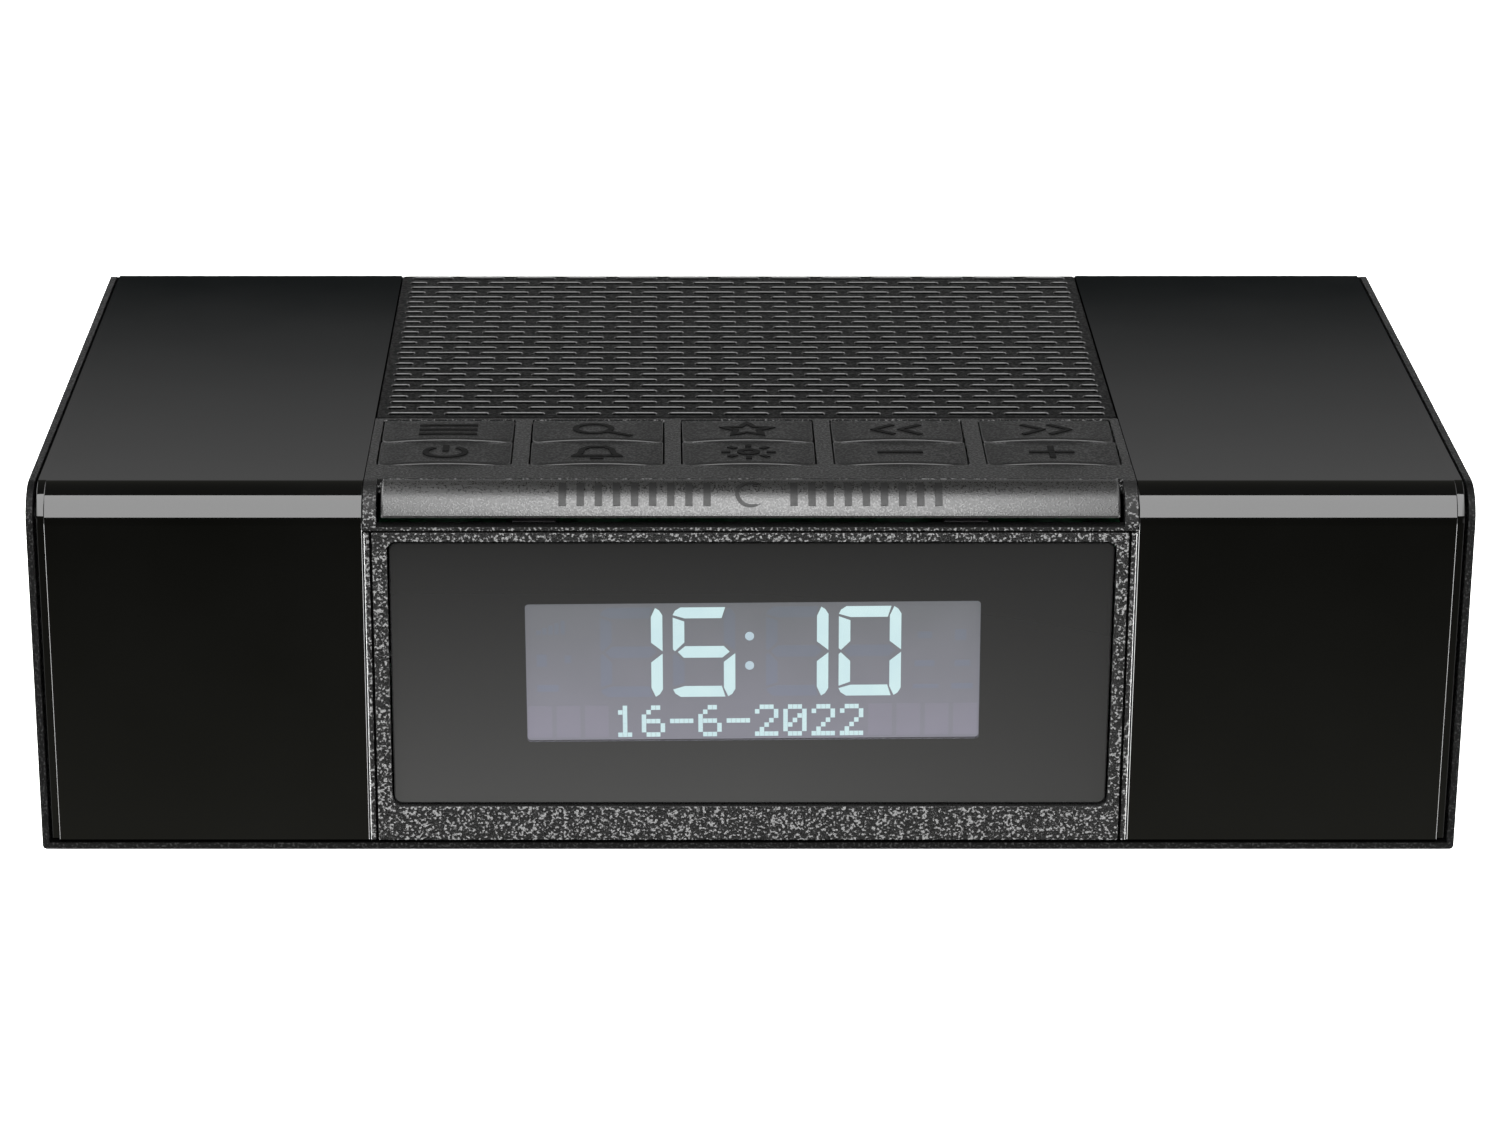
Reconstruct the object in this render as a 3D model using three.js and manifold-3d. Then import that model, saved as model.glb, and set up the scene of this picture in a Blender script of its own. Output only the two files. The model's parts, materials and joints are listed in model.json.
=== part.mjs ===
// Tabletop clock radio, built as the separate pieces that come apart on a bench.
// Millimetres, +Z up, front towards -Y, origin at the centre of the footprint on the table.

import * as THREE from 'three';
import { mergeVertices } from 'three/addons/utils/BufferGeometryUtils.js';
import Module from 'manifold-3d';

const wasm = await Module();
wasm.setup();

// Overall size
const WIDTH = 200;
const DEPTH = 104;
const BODY_HEIGHT = 54;
const FOOT_HEIGHT = 1.5;
const SIDE = WIDTH / 2;
const FRONT = -DEPTH / 2;
const REAR = DEPTH / 2;
const BASE = FOOT_HEIGHT;
const TOP = BASE + BODY_HEIGHT;
const PAST = 10;                 // how far a cutter runs beyond a face
const ROOT = 1;                  // how far a joined form runs into its neighbour

// Housing and the skins that lie in its rebate
const NOSE_RADIUS = 5;           // rounded edge between the front and the top
const HEEL_RADIUS = 0.6;         // edge under the front and the back
const TAIL_RADIUS = 2;
const WALL = 2.4;
const SIDE_RIM = 0.95;           // edge of the housing that shows beside the skins
const BASE_RIM = 1.2;            // and below them
const REBATE_DEPTH = 2.5;
const SKIN = 2.2;
const GAP = 0.3;
const SEAM = TOP - 5.75;         // joint between the key deck and the display bezel
const BEZEL_GROOVE = { inset: 1, width: 0.35, depth: 0.5 };
const SKIN_BOTTOM = BASE + 1.6;
const SKIN_REAR = REAR - SIDE_RIM - GAP;
const BAND_HALF = 53.5;          // half width of the centre band
const PANEL_INNER = BAND_HALF + GAP;
const PANEL_BORDER = 1.1;        // lowered edge along the outer side of a gloss panel
const PANEL_STEP = 0.5;
const PANEL_OUTER = SIDE - SIDE_RIM - 0.4;

// Case screws and their posts
const SCREW_X = 90;
const SCREW_Y = 38;
const SCREW_HEAD = { radius: 2.7, height: 1.3 };
const SCREW_SHANK = { radius: 1.3, length: 16 };
const POST_RADIUS = 3.8;
const POST_SPLIT = BASE + 8;     // where a housing post meets a panel post
const POST_BORE = 1.7;
const PILOT_SPARE = 4;           // pilot hole beyond the tip of its screw
const COUNTERBORE = { radius: 3, depth: 1.8 };

// Feet
const FOOT_X = 74;
const FOOT_Y = 38;
const FOOT_RADIUS = 5;
const FOOT_RECESS = 0.9;
const FOOT_CHAMFER = 0.4;

// Grille
const GRILLE_FRONT = -20.2;
const SLOT_PITCH_X = 8.1;
const SLOT_PITCH_Y = 2.6;
const SLOT_LENGTH = 6.3;
const SLOT_WIDTH = 1.1;
const SLOT_FIELD_RADIUS = 24;

// Keys: five columns of two
const KEY_WIDTH = 18.5;
const KEY_COLUMN_PITCH = 21.38;
const KEY_REAR = -21.2;
const KEY_MIDDLE = -30.5;
const KEY_FRONT = -40.6;
const KEY_BOTTOM = TOP - 2.6;
const KEY_SHOULDER = TOP - 0.4;
const KEY_CROWN = TOP + 0.2;
const KEY_POCKET_RADIUS = 0.8;
const KEY_NUB = { radius: 1.5, height: 0.8 };
const KEY_NAMES = [
  ['key_menu', 'key_power'],
  ['key_scan', 'key_alarm'],
  ['key_preset', 'key_dimmer'],
  ['key_tune_down', 'key_volume_down'],
  ['key_tune_up', 'key_volume_up'],
];

// Snooze bar
const SNOOZE_HALF = 51.1;
const SNOOZE_REAR = -46.9;
const SNOOZE_DROP = 4;           // how far the bar comes down the front
const SNOOZE_GAP = 0.6;          // at each end of the bar
const SNOOZE_GAP_BELOW = 1.25;
const SNOOZE_LIP = { rear: -43.9, top: TOP - 2.5, bottom: TOP - 3.4 };
const SNOOZE_SWITCH = { x: 30, y: -46.2 };

// Display stack, front to back
const LENS = { centreX: 0.2, halfWidth: 50.2, top: TOP - 7.7, bottom: TOP - 46.9, radius: 1.1 };
const LENS_FRONT = FRONT + 0.5;
const LENS_REAR = FRONT + SKIN;
const DISPLAY_CENTRE_X = 0.5;
const DISPLAY_CENTRE_Z = TOP - 26.9;
const WINDOW = { halfWidth: 33.5, halfHeight: 12 };
const GLASS = { halfWidth: 37, halfHeight: 15.5, thickness: 2.2 };
const CARRIER = { halfWidth: 50, top: TOP - 9.5, bottom: TOP - 48, front: FRONT + 2.5, rear: FRONT + 8.5 };
const POCKET_FRONT = CARRIER.front + 2;
const LIGHT_GUIDE_THICKNESS = 3;
const BOARD_THICKNESS = 1.6;

// Key board and its switches
const KEY_BOARD = { half: 52, front: -49.3, rear: -19, top: TOP - 7.9, thickness: 1.2 };
const KEY_BOARD_POST = { x: 46, y: -22, radius: 2.5 };
const SWITCH = { half: 3, body: 2.6, plungerRadius: 1.7, height: 3.4 };

// Main board, tuner and sockets
const MAIN_BOARD = { half: 80, front: -18, rear: 48, bottom: BASE + 6 };
const STANDOFF = { x: 72, y: 22, centreY: 8, radius: 2.5 };
const TUNER = { x: -42, y: 14, width: 30, depth: 24, height: 4 };
const SOCKET_Z = 15;
const SOCKET_BACK = 4;           // solid stretch behind a socket's bore
const DC_JACK = { x: 62, half: 4.5, nose: 4, bore: 3.1, pin: 1, depth: 14 };
const PHONES_JACK = { x: 44, half: 3.6, nose: 3.2, bore: 1.8, pin: 0, depth: 12 };
const GROMMET = { x: -62, flange: 4.1, neck: 2.4, bore: 1, flangeThickness: 1 };

// Speaker
const SPEAKER_Y = 15.5;
const SPEAKER_HALF = 28.5;
const SPEAKER_CORNER = 4;
const SPEAKER_SCREW = 24.2;
const SPEAKER_SCREW_HEAD = { radius: 2.2, height: 1.4 };
const SPEAKER_SCREW_SHANK = 1.1;
const SPEAKER_SCREW_TIP = TOP - 1.3;
const SPEAKER_BOSS = { radius: 2.5, pilot: 1.4, pilotTop: TOP - 0.9 };
const FLANGE_TOP = TOP - 3.6;
const FLANGE_THICKNESS = 1;
const FLANGE_HOLE = 25.7;
const FLANGE_SCREW_HOLE = 1.5;
const GASKET = { inner: 26.2, outer: 28.2 };
const CONE = { outer: 22, neck: 6.9, rim: FLANGE_TOP - 1, depth: 7, thickness: 0.7 };
const SURROUND = { roll: 1.55, thickness: 0.5, steps: 6 };
const DUST_CAP = { radius: 7.9, base: FLANGE_TOP - 6, rise: 2.2, thickness: 0.6, steps: 4 };
const BOWL = { bottom: TOP - 17, radius: 15, hole: 8, thickness: 1, wall: 1.2 };
const COIL = { inner: 6.1, outer: 6.8, top: FLANGE_TOP - 8.2, bottom: BOWL.bottom - 4 };
const MAGNET = { radius: 16, height: 10, pole: 5.4, slot: 7.6, slotDepth: 7 };

// Cross recess of a screw, as shares of its head
const RECESS = { reach: 0.6, depth: 0.6, halfWidth: 0.3 };
const HEAD_FLAT = 0.8;           // flat middle of a screw head, as a share of its radius

const ROUND_STEPS = 20;
const SMALL_STEPS = 12;
const NOSE_STEPS = 8;

// Finishes
const finish = (color, roughness, metalness = 0) =>
  new THREE.MeshStandardMaterial({ color, roughness, metalness });
const FINISHES = {
  texturedPlastic: () => finish(0x2b2b2c, 0.72),
  glossPlastic: () => finish(0x0c0d0e, 0.06),
  keyPlastic: () => finish(0x262627, 0.6),
  smokedLens: () => finish(0x15161a, 0.05),
  displayGlass: () => finish(0x8a8c96, 0.15),
  blackPlastic: () => finish(0x141415, 0.5),
  whitePlastic: () => finish(0xe6e6e2, 0.4),
  circuitBoard: () => finish(0x1c4a2c, 0.45),
  tinnedSteel: () => finish(0xb4b6b8, 0.32, 1),
  darkSteel: () => finish(0x35363a, 0.4, 1),
  ferrite: () => finish(0x2a2a2c, 0.65, 0.3),
  coneFibre: () => finish(0x1d1d1e, 0.9),
  rubber: () => finish(0x17171a, 0.85),
  foam: () => finish(0x202022, 0.95),
  copper: () => finish(0xb87333, 0.3, 1),
};

// Closed solids ---------------------------------------------------------------

function closed(geometry) {
  const bare = new THREE.BufferGeometry();
  bare.setAttribute('position', geometry.getAttribute('position'));
  if (geometry.index) {
    bare.setIndex(geometry.index);
  }
  const merged = mergeVertices(bare, 1e-4);
  const position = merged.getAttribute('position');
  const corner = [new THREE.Vector3(), new THREE.Vector3(), new THREE.Vector3()];
  const kept = [];
  let volume = 0;
  for (let i = 0; i < merged.index.count; i += 3) {
    const triangle = [0, 1, 2].map((k) => merged.index.getX(i + k));
    if (new Set(triangle).size < 3) {
      continue;
    }
    triangle.forEach((vertex, k) => corner[k].fromBufferAttribute(position, vertex));
    volume += corner[0].dot(corner[1].clone().cross(corner[2]));
    kept.push(triangle);
  }
  const outward = volume < 0 ? kept.map(([a, b, c]) => [a, c, b]) : kept;
  merged.setIndex(outward.flat());
  return merged;
}

function toManifold(geometry) {
  const solid = closed(geometry);
  return new wasm.Manifold(new wasm.Mesh({
    numProp: 3,
    vertProperties: new Float32Array(solid.getAttribute('position').array),
    triVerts: new Uint32Array(solid.index.array),
  }));
}

function toGeometry(manifold) {
  const mesh = manifold.getMesh();
  const geometry = new THREE.BufferGeometry();
  geometry.setAttribute('position', new THREE.BufferAttribute(new Float32Array(mesh.vertProperties), 3));
  geometry.setIndex(new THREE.BufferAttribute(new Uint32Array(mesh.triVerts), 1));
  return geometry;
}

const join = (...pieces) => toGeometry(pieces.map(toManifold).reduce((sum, piece) => sum.add(piece)));

function cut(body, ...cutters) {
  const start = toManifold(body);
  return toGeometry(cutters.map(toManifold).reduce((rest, cutter) => rest.subtract(cutter), start));
}

// Basic forms -----------------------------------------------------------------

function block([x0, x1], [y0, y1], [z0, z1]) {
  const box = new THREE.BoxGeometry(x1 - x0, y1 - y0, z1 - z0);
  return box.translate((x0 + x1) / 2, (y0 + y1) / 2, (z0 + z1) / 2);
}

function post(x, y, radius, z0, z1, steps = SMALL_STEPS) {
  const cylinder = new THREE.CylinderGeometry(radius, radius, z1 - z0, steps);
  return cylinder.rotateX(Math.PI / 2).translate(x, y, (z0 + z1) / 2);
}

function barrel(x, z, radius, y0, y1, steps = ROUND_STEPS) {
  const cylinder = new THREE.CylinderGeometry(radius, radius, y1 - y0, steps);
  return cylinder.translate(x, (y0 + y1) / 2, z);
}

function turned(profile, x, y, steps = ROUND_STEPS) {
  const points = profile.map(([r, z]) => new THREE.Vector2(r, z));
  return new THREE.LatheGeometry(points, steps).rotateX(Math.PI / 2).translate(x, y, 0);
}

const extrude = (shape, depth, curveSegments) =>
  new THREE.ExtrudeGeometry(shape, { depth, bevelEnabled: false, steps: 1, curveSegments });

// A (y, z) outline drawn out along X
function alongX(shape, x0, x1) {
  const cycle = new THREE.Matrix4().set(0, 0, 1, 0, 1, 0, 0, 0, 0, 1, 0, 0, 0, 0, 0, 1);
  return extrude(shape, x1 - x0, NOSE_STEPS).applyMatrix4(cycle).translate(x0, 0, 0);
}

// An (x, z) outline drawn out along Y
function alongY(shape, y0, y1) {
  return extrude(shape, y1 - y0, 3).rotateX(Math.PI / 2).translate(0, y1, 0);
}

// An (x, y) outline drawn out along Z
function alongZ(shape, z0, z1) {
  return extrude(shape, z1 - z0, 3).translate(0, 0, z0);
}

function roundedRectangle([x0, x1], [y0, y1], radius) {
  const shape = new THREE.Shape();
  shape.absarc(x1 - radius, y0 + radius, radius, -Math.PI / 2, 0);
  shape.absarc(x1 - radius, y1 - radius, radius, 0, Math.PI / 2);
  shape.absarc(x0 + radius, y1 - radius, radius, Math.PI / 2, Math.PI);
  shape.absarc(x0 + radius, y0 + radius, radius, Math.PI, 1.5 * Math.PI);
  return shape;
}

// The L of a skin in side view: over the top, round the nose and down the front
function skinOutline(outer, inner, rear, bottom = SKIN_BOTTOM) {
  const noseY = FRONT + NOSE_RADIUS;
  const noseZ = TOP - NOSE_RADIUS;
  const shape = new THREE.Shape();
  shape.moveTo(rear, TOP - outer);
  shape.lineTo(noseY, TOP - outer);
  shape.absarc(noseY, noseZ, NOSE_RADIUS - outer, Math.PI / 2, Math.PI, false);
  shape.lineTo(FRONT + outer, bottom);
  shape.lineTo(FRONT + inner, bottom);
  shape.lineTo(FRONT + inner, noseZ);
  shape.absarc(noseY, noseZ, NOSE_RADIUS - inner, Math.PI, Math.PI / 2, true);
  shape.lineTo(rear, TOP - inner);
  return shape;
}

const corners = (x, y, centreY = 0) =>
  [[-x, centreY - y], [x, centreY - y], [-x, centreY + y], [x, centreY + y]];

// Casing ------------------------------------------------------------------------

function housingOutline() {
  const shape = new THREE.Shape();
  shape.absarc(REAR - HEEL_RADIUS, BASE + HEEL_RADIUS, HEEL_RADIUS, -Math.PI / 2, 0);
  shape.absarc(REAR - TAIL_RADIUS, TOP - TAIL_RADIUS, TAIL_RADIUS, 0, Math.PI / 2);
  shape.absarc(FRONT + NOSE_RADIUS, TOP - NOSE_RADIUS, NOSE_RADIUS, Math.PI / 2, Math.PI);
  shape.absarc(FRONT + HEEL_RADIUS, BASE + HEEL_RADIUS, HEEL_RADIUS, Math.PI, 1.5 * Math.PI);
  return shape;
}

// The space in front of and above the shelf that the skins lie on
function rebateOutline() {
  const noseY = FRONT + NOSE_RADIUS;
  const noseZ = TOP - NOSE_RADIUS;
  const shape = new THREE.Shape();
  shape.moveTo(FRONT - PAST, BASE + BASE_RIM);
  shape.lineTo(FRONT + REBATE_DEPTH, BASE + BASE_RIM);
  shape.lineTo(FRONT + REBATE_DEPTH, noseZ);
  shape.absarc(noseY, noseZ, NOSE_RADIUS - REBATE_DEPTH, Math.PI, Math.PI / 2, true);
  shape.lineTo(REAR - SIDE_RIM, TOP - REBATE_DEPTH);
  shape.lineTo(REAR - SIDE_RIM, TOP + PAST);
  shape.lineTo(FRONT - PAST, TOP + PAST);
  return shape;
}

function bottomHousing() {
  const inside = SIDE - WALL;
  const floor = BASE + WALL;
  const shell = cut(
    alongX(housingOutline(), -SIDE, SIDE),
    block([-inside, inside], [FRONT - PAST, REAR - WALL], [floor, TOP + PAST]),
    alongX(rebateOutline(), -SIDE + SIDE_RIM, SIDE - SIDE_RIM),
  );
  const screwPosts = corners(SCREW_X, SCREW_Y).map(([x, y]) =>
    post(x, y, POST_RADIUS, floor - ROOT, POST_SPLIT));
  const standoffs = corners(STANDOFF.x, STANDOFF.y, STANDOFF.centreY).map(([x, y]) =>
    post(x, y, STANDOFF.radius, floor - ROOT, MAIN_BOARD.bottom - GAP));
  const keyBoardPosts = [-KEY_BOARD_POST.x, KEY_BOARD_POST.x].map((x) =>
    post(x, KEY_BOARD_POST.y, KEY_BOARD_POST.radius, floor - ROOT,
      KEY_BOARD.top - KEY_BOARD.thickness - GAP));
  const screwBores = corners(SCREW_X, SCREW_Y).flatMap(([x, y]) => [
    post(x, y, POST_BORE, BASE - PAST, POST_SPLIT + PAST),
    post(x, y, COUNTERBORE.radius, BASE - PAST, BASE + COUNTERBORE.depth, ROUND_STEPS),
  ]);
  const footRecesses = corners(FOOT_X, FOOT_Y).map(([x, y]) =>
    post(x, y, FOOT_RADIUS + GAP, BASE - PAST, BASE + FOOT_RECESS, ROUND_STEPS));
  const rearHoles = [
    barrel(DC_JACK.x, SOCKET_Z, DC_JACK.nose + GAP, REAR - PAST, REAR + PAST),
    barrel(PHONES_JACK.x, SOCKET_Z, PHONES_JACK.nose + GAP, REAR - PAST, REAR + PAST),
    barrel(GROMMET.x, SOCKET_Z, GROMMET.neck + GAP, REAR - PAST, REAR + PAST),
    barrel(GROMMET.x, SOCKET_Z, GROMMET.flange + GAP, REAR - GROMMET.flangeThickness - GAP, REAR + PAST),
  ];
  return cut(join(shell, ...screwPosts, ...standoffs, ...keyBoardPosts),
    ...screwBores, ...footRecesses, ...rearHoles);
}

function glossPanel(side) {
  const spanX = (inner, outer) => (side > 0 ? [inner, outer] : [-outer, -inner]);
  const main = alongX(skinOutline(0, SKIN, SKIN_REAR), ...spanX(PANEL_INNER, PANEL_OUTER - PANEL_BORDER));
  const border = alongX(skinOutline(PANEL_STEP, SKIN, SKIN_REAR), ...spanX(PANEL_INNER + ROOT, PANEL_OUTER));
  const posts = [-SCREW_Y, SCREW_Y].map((y) =>
    post(side * SCREW_X, y, POST_RADIUS, POST_SPLIT + GAP, TOP - SKIN / 2));
  const pilots = [-SCREW_Y, SCREW_Y].map((y) =>
    post(side * SCREW_X, y, POST_BORE, POST_SPLIT - ROOT, BASE + SCREW_SHANK.length + PILOT_SPARE));
  return cut(join(main, border, ...posts), ...pilots);
}

// Top of the centre band in front of the grille, ending just below the snooze bar
function keyDeck() {
  const band = alongX(skinOutline(0, SKIN, GRILLE_FRONT - GAP, SEAM), -BAND_HALF, BAND_HALF);
  const keyPockets = KEY_NAMES.map((pair, column) => {
    const x = keyColumnX(column);
    const half = KEY_WIDTH / 2 + GAP;
    return alongZ(roundedRectangle([x - half, x + half], [KEY_FRONT - GAP, KEY_REAR + GAP],
      KEY_POCKET_RADIUS), TOP - PAST, TOP + PAST);
  });
  const snoozeOpening = block([-SNOOZE_HALF - SNOOZE_GAP, SNOOZE_HALF + SNOOZE_GAP],
    [FRONT - PAST, SNOOZE_REAR + GAP], [TOP - SNOOZE_DROP - SNOOZE_GAP_BELOW, TOP + PAST]);
  return cut(band, ...keyPockets, snoozeOpening);
}

// Frame round the lens, with a shadow groove along each side
function displayBezel() {
  const plate = block([-BAND_HALF, BAND_HALF], [FRONT, FRONT + SKIN], [SKIN_BOTTOM, SEAM - GAP]);
  const lensOpening = alongY(lensOutline(GAP), FRONT - PAST, FRONT + PAST);
  const grooves = [-1, 1].map((side) => {
    const centre = side * (BAND_HALF - BEZEL_GROOVE.inset);
    return block([centre - BEZEL_GROOVE.width / 2, centre + BEZEL_GROOVE.width / 2],
      [FRONT - PAST, FRONT + BEZEL_GROOVE.depth], [BASE, TOP]);
  });
  return cut(plate, lensOpening, ...grooves);
}

// Grille with through-slots over the speaker, staggered row by row
function speakerGrille() {
  const plate = block([-BAND_HALF, BAND_HALF], [GRILLE_FRONT, SKIN_REAR], [TOP - SKIN, TOP]);
  const bosses = corners(SPEAKER_SCREW, SPEAKER_SCREW, SPEAKER_Y).map(([x, y]) =>
    post(x, y, SPEAKER_BOSS.radius, FLANGE_TOP + GAP, TOP - SKIN / 2));
  const pilots = corners(SPEAKER_SCREW, SPEAKER_SCREW, SPEAKER_Y).map(([x, y]) =>
    post(x, y, SPEAKER_BOSS.pilot, FLANGE_TOP - ROOT, SPEAKER_BOSS.pilotTop));
  const slots = [];
  const rows = Math.floor(SLOT_FIELD_RADIUS / SLOT_PITCH_Y);
  for (let row = -rows; row <= rows; row += 1) {
    const y = row * SLOT_PITCH_Y;
    const reach = Math.sqrt(SLOT_FIELD_RADIUS ** 2 - y ** 2);
    const shift = row % 2 === 0 ? SLOT_PITCH_X / 2 : 0;
    const count = Math.ceil(reach / SLOT_PITCH_X) + 1;
    for (let column = -count; column <= count; column += 1) {
      const x = column * SLOT_PITCH_X + shift;
      if (Math.abs(x) + SLOT_LENGTH / 2 <= reach) {
        slots.push(block([x - SLOT_LENGTH / 2, x + SLOT_LENGTH / 2],
          [SPEAKER_Y + y - SLOT_WIDTH / 2, SPEAKER_Y + y + SLOT_WIDTH / 2], [TOP - PAST, TOP + PAST]));
      }
    }
  }
  return cut(join(plate, ...bosses), ...pilots, ...slots);
}

// Keys ----------------------------------------------------------------------------

function keyColumnX(column) {
  return (column - (KEY_NAMES.length - 1) / 2) * KEY_COLUMN_PITCH;
}

function keyRange(row) {
  return row === 0 ? [KEY_MIDDLE + GAP / 2, KEY_REAR] : [KEY_FRONT, KEY_MIDDLE - GAP / 2];
}

// A cap crowned from side to side, with a nub that meets its switch
function keyCap(x, [y0, y1]) {
  const half = KEY_WIDTH / 2;
  const shape = new THREE.Shape();
  shape.moveTo(x - half, KEY_BOTTOM);
  shape.lineTo(x + half, KEY_BOTTOM);
  shape.lineTo(x + half, KEY_SHOULDER);
  shape.quadraticCurveTo(x, 2 * KEY_CROWN - KEY_SHOULDER, x - half, KEY_SHOULDER);
  const cap = extrude(shape, y1 - y0, NOSE_STEPS).rotateX(Math.PI / 2).translate(0, y1, 0);
  const nub = post(x, (y0 + y1) / 2, KEY_NUB.radius, KEY_BOTTOM - KEY_NUB.height, KEY_BOTTOM + ROOT);
  return join(cap, nub);
}

// The long bar follows the nose, with a lip behind it under the deck
function snoozeBar() {
  const noseY = FRONT + NOSE_RADIUS;
  const noseZ = TOP - NOSE_RADIUS;
  const inner = NOSE_RADIUS - SKIN;
  const endAt = (radius) => Math.PI - Math.asin((NOSE_RADIUS - SNOOZE_DROP) / radius);
  const shape = new THREE.Shape();
  shape.moveTo(SNOOZE_REAR, TOP);
  shape.absarc(noseY, noseZ, NOSE_RADIUS, Math.PI / 2, endAt(NOSE_RADIUS), false);
  shape.absarc(noseY, noseZ, inner, endAt(inner), Math.PI / 2, true);
  shape.lineTo(noseY, SNOOZE_LIP.bottom);
  shape.lineTo(SNOOZE_LIP.rear, SNOOZE_LIP.bottom);
  shape.lineTo(SNOOZE_LIP.rear, SNOOZE_LIP.top);
  shape.lineTo(SNOOZE_REAR, SNOOZE_LIP.top);
  return alongX(shape, -SNOOZE_HALF, SNOOZE_HALF);
}

function tactSwitch(x, y) {
  const bottom = KEY_BOARD.top + GAP;
  return join(
    block([x - SWITCH.half, x + SWITCH.half], [y - SWITCH.half, y + SWITCH.half],
      [bottom, bottom + SWITCH.body - GAP]),
    post(x, y, SWITCH.plungerRadius, bottom + ROOT, KEY_BOARD.top + SWITCH.height),
  );
}

function keyBoard() {
  return block([-KEY_BOARD.half, KEY_BOARD.half], [KEY_BOARD.front, KEY_BOARD.rear],
    [KEY_BOARD.top - KEY_BOARD.thickness, KEY_BOARD.top]);
}

// Display -----------------------------------------------------------------------------

function lensOutline(clearance) {
  return roundedRectangle(
    [LENS.centreX - LENS.halfWidth - clearance, LENS.centreX + LENS.halfWidth + clearance],
    [LENS.bottom - clearance, LENS.top + clearance], LENS.radius + clearance);
}

const displayBlock = ({ halfWidth, halfHeight }, y0, y1) => block(
  [DISPLAY_CENTRE_X - halfWidth, DISPLAY_CENTRE_X + halfWidth], [y0, y1],
  [DISPLAY_CENTRE_Z - halfHeight, DISPLAY_CENTRE_Z + halfHeight]);

// Frame behind the lens: a window in front and a pocket for the glass behind
function displayCarrier() {
  const plate = block([-CARRIER.halfWidth, CARRIER.halfWidth], [CARRIER.front, CARRIER.rear],
    [CARRIER.bottom, CARRIER.top]);
  const pocket = { halfWidth: GLASS.halfWidth + GAP, halfHeight: GLASS.halfHeight + GAP };
  return cut(plate,
    displayBlock(WINDOW, CARRIER.front - PAST, CARRIER.rear + PAST),
    displayBlock(pocket, POCKET_FRONT, CARRIER.rear + PAST));
}

const GLASS_FRONT = POCKET_FRONT + GAP;
const GUIDE_FRONT = GLASS_FRONT + GLASS.thickness + GAP;
const DISPLAY_BOARD_FRONT = GUIDE_FRONT + LIGHT_GUIDE_THICKNESS + GAP;

// Sockets on the back ---------------------------------------------------------------------

// A box with a round nose in the rear wall, bored from behind, with or without a centre pin
function socket({ x, half, nose, bore, pin, depth }) {
  const wallInside = REAR - WALL - GAP;
  const mouth = REAR - GAP;
  const boreEnd = mouth - depth + SOCKET_BACK;
  const body = join(
    block([x - half, x + half], [wallInside - depth, wallInside],
      [MAIN_BOARD.bottom + BOARD_THICKNESS + GAP, SOCKET_Z + half + ROOT]),
    barrel(x, SOCKET_Z, nose, wallInside - ROOT, mouth),
  );
  const bored = cut(body, barrel(x, SOCKET_Z, bore, boreEnd, REAR + PAST));
  return pin > 0 ? join(bored, barrel(x, SOCKET_Z, pin, boreEnd - ROOT, mouth - ROOT, SMALL_STEPS)) : bored;
}

// Rubber sleeve where a wire aerial leaves the case
function aerialGrommet() {
  const inside = REAR - WALL - GAP - GROMMET.flangeThickness;
  const sleeve = join(
    barrel(GROMMET.x, SOCKET_Z, GROMMET.flange, REAR - GROMMET.flangeThickness, REAR),
    barrel(GROMMET.x, SOCKET_Z, GROMMET.neck, inside, REAR),
    barrel(GROMMET.x, SOCKET_Z, GROMMET.flange, inside, inside + GROMMET.flangeThickness),
  );
  return cut(sleeve, barrel(GROMMET.x, SOCKET_Z, GROMMET.bore, inside - PAST, REAR + PAST, SMALL_STEPS));
}

// Speaker -----------------------------------------------------------------------------------

function speakerBasket() {
  const flangeBottom = FLANGE_TOP - FLANGE_THICKNESS;
  const flange = cut(
    alongZ(roundedRectangle([-SPEAKER_HALF, SPEAKER_HALF],
      [SPEAKER_Y - SPEAKER_HALF, SPEAKER_Y + SPEAKER_HALF], SPEAKER_CORNER), flangeBottom, FLANGE_TOP),
    post(0, SPEAKER_Y, FLANGE_HOLE, flangeBottom - PAST, FLANGE_TOP + PAST, ROUND_STEPS),
    ...corners(SPEAKER_SCREW, SPEAKER_SCREW, SPEAKER_Y).map(([x, y]) =>
      post(x, y, FLANGE_SCREW_HOLE, flangeBottom - PAST, FLANGE_TOP + PAST)),
  );
  const rim = flangeBottom + FLANGE_THICKNESS / 2;
  const inner = FLANGE_HOLE + 0.2;
  const bowl = turned([
    [inner, rim], [inner + BOWL.wall, rim], [BOWL.radius, BOWL.bottom], [BOWL.hole, BOWL.bottom],
    [BOWL.hole, BOWL.bottom + BOWL.thickness], [BOWL.radius - BOWL.wall / 2, BOWL.bottom + BOWL.thickness],
    [inner, rim],
  ], 0, SPEAKER_Y);
  return join(flange, bowl);
}

function speakerMagnet() {
  const top = BOWL.bottom - GAP;
  const { radius, height, pole, slot, slotDepth } = MAGNET;
  return turned([
    [0, top], [pole, top], [pole, top - slotDepth], [slot, top - slotDepth], [slot, top],
    [radius, top], [radius, top - height], [0, top - height],
  ], 0, SPEAKER_Y);
}

// A plain ring, square in section
const ring = (inner, outer, low, high) =>
  turned([[inner, low], [outer, low], [outer, high], [inner, high], [inner, low]], 0, SPEAKER_Y);

function speakerCone() {
  const { outer, neck, rim, depth, thickness } = CONE;
  return turned([
    [neck, rim - depth], [outer, rim], [outer, rim - thickness], [neck, rim - depth - thickness],
    [neck, rim - depth],
  ], 0, SPEAKER_Y);
}

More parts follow.
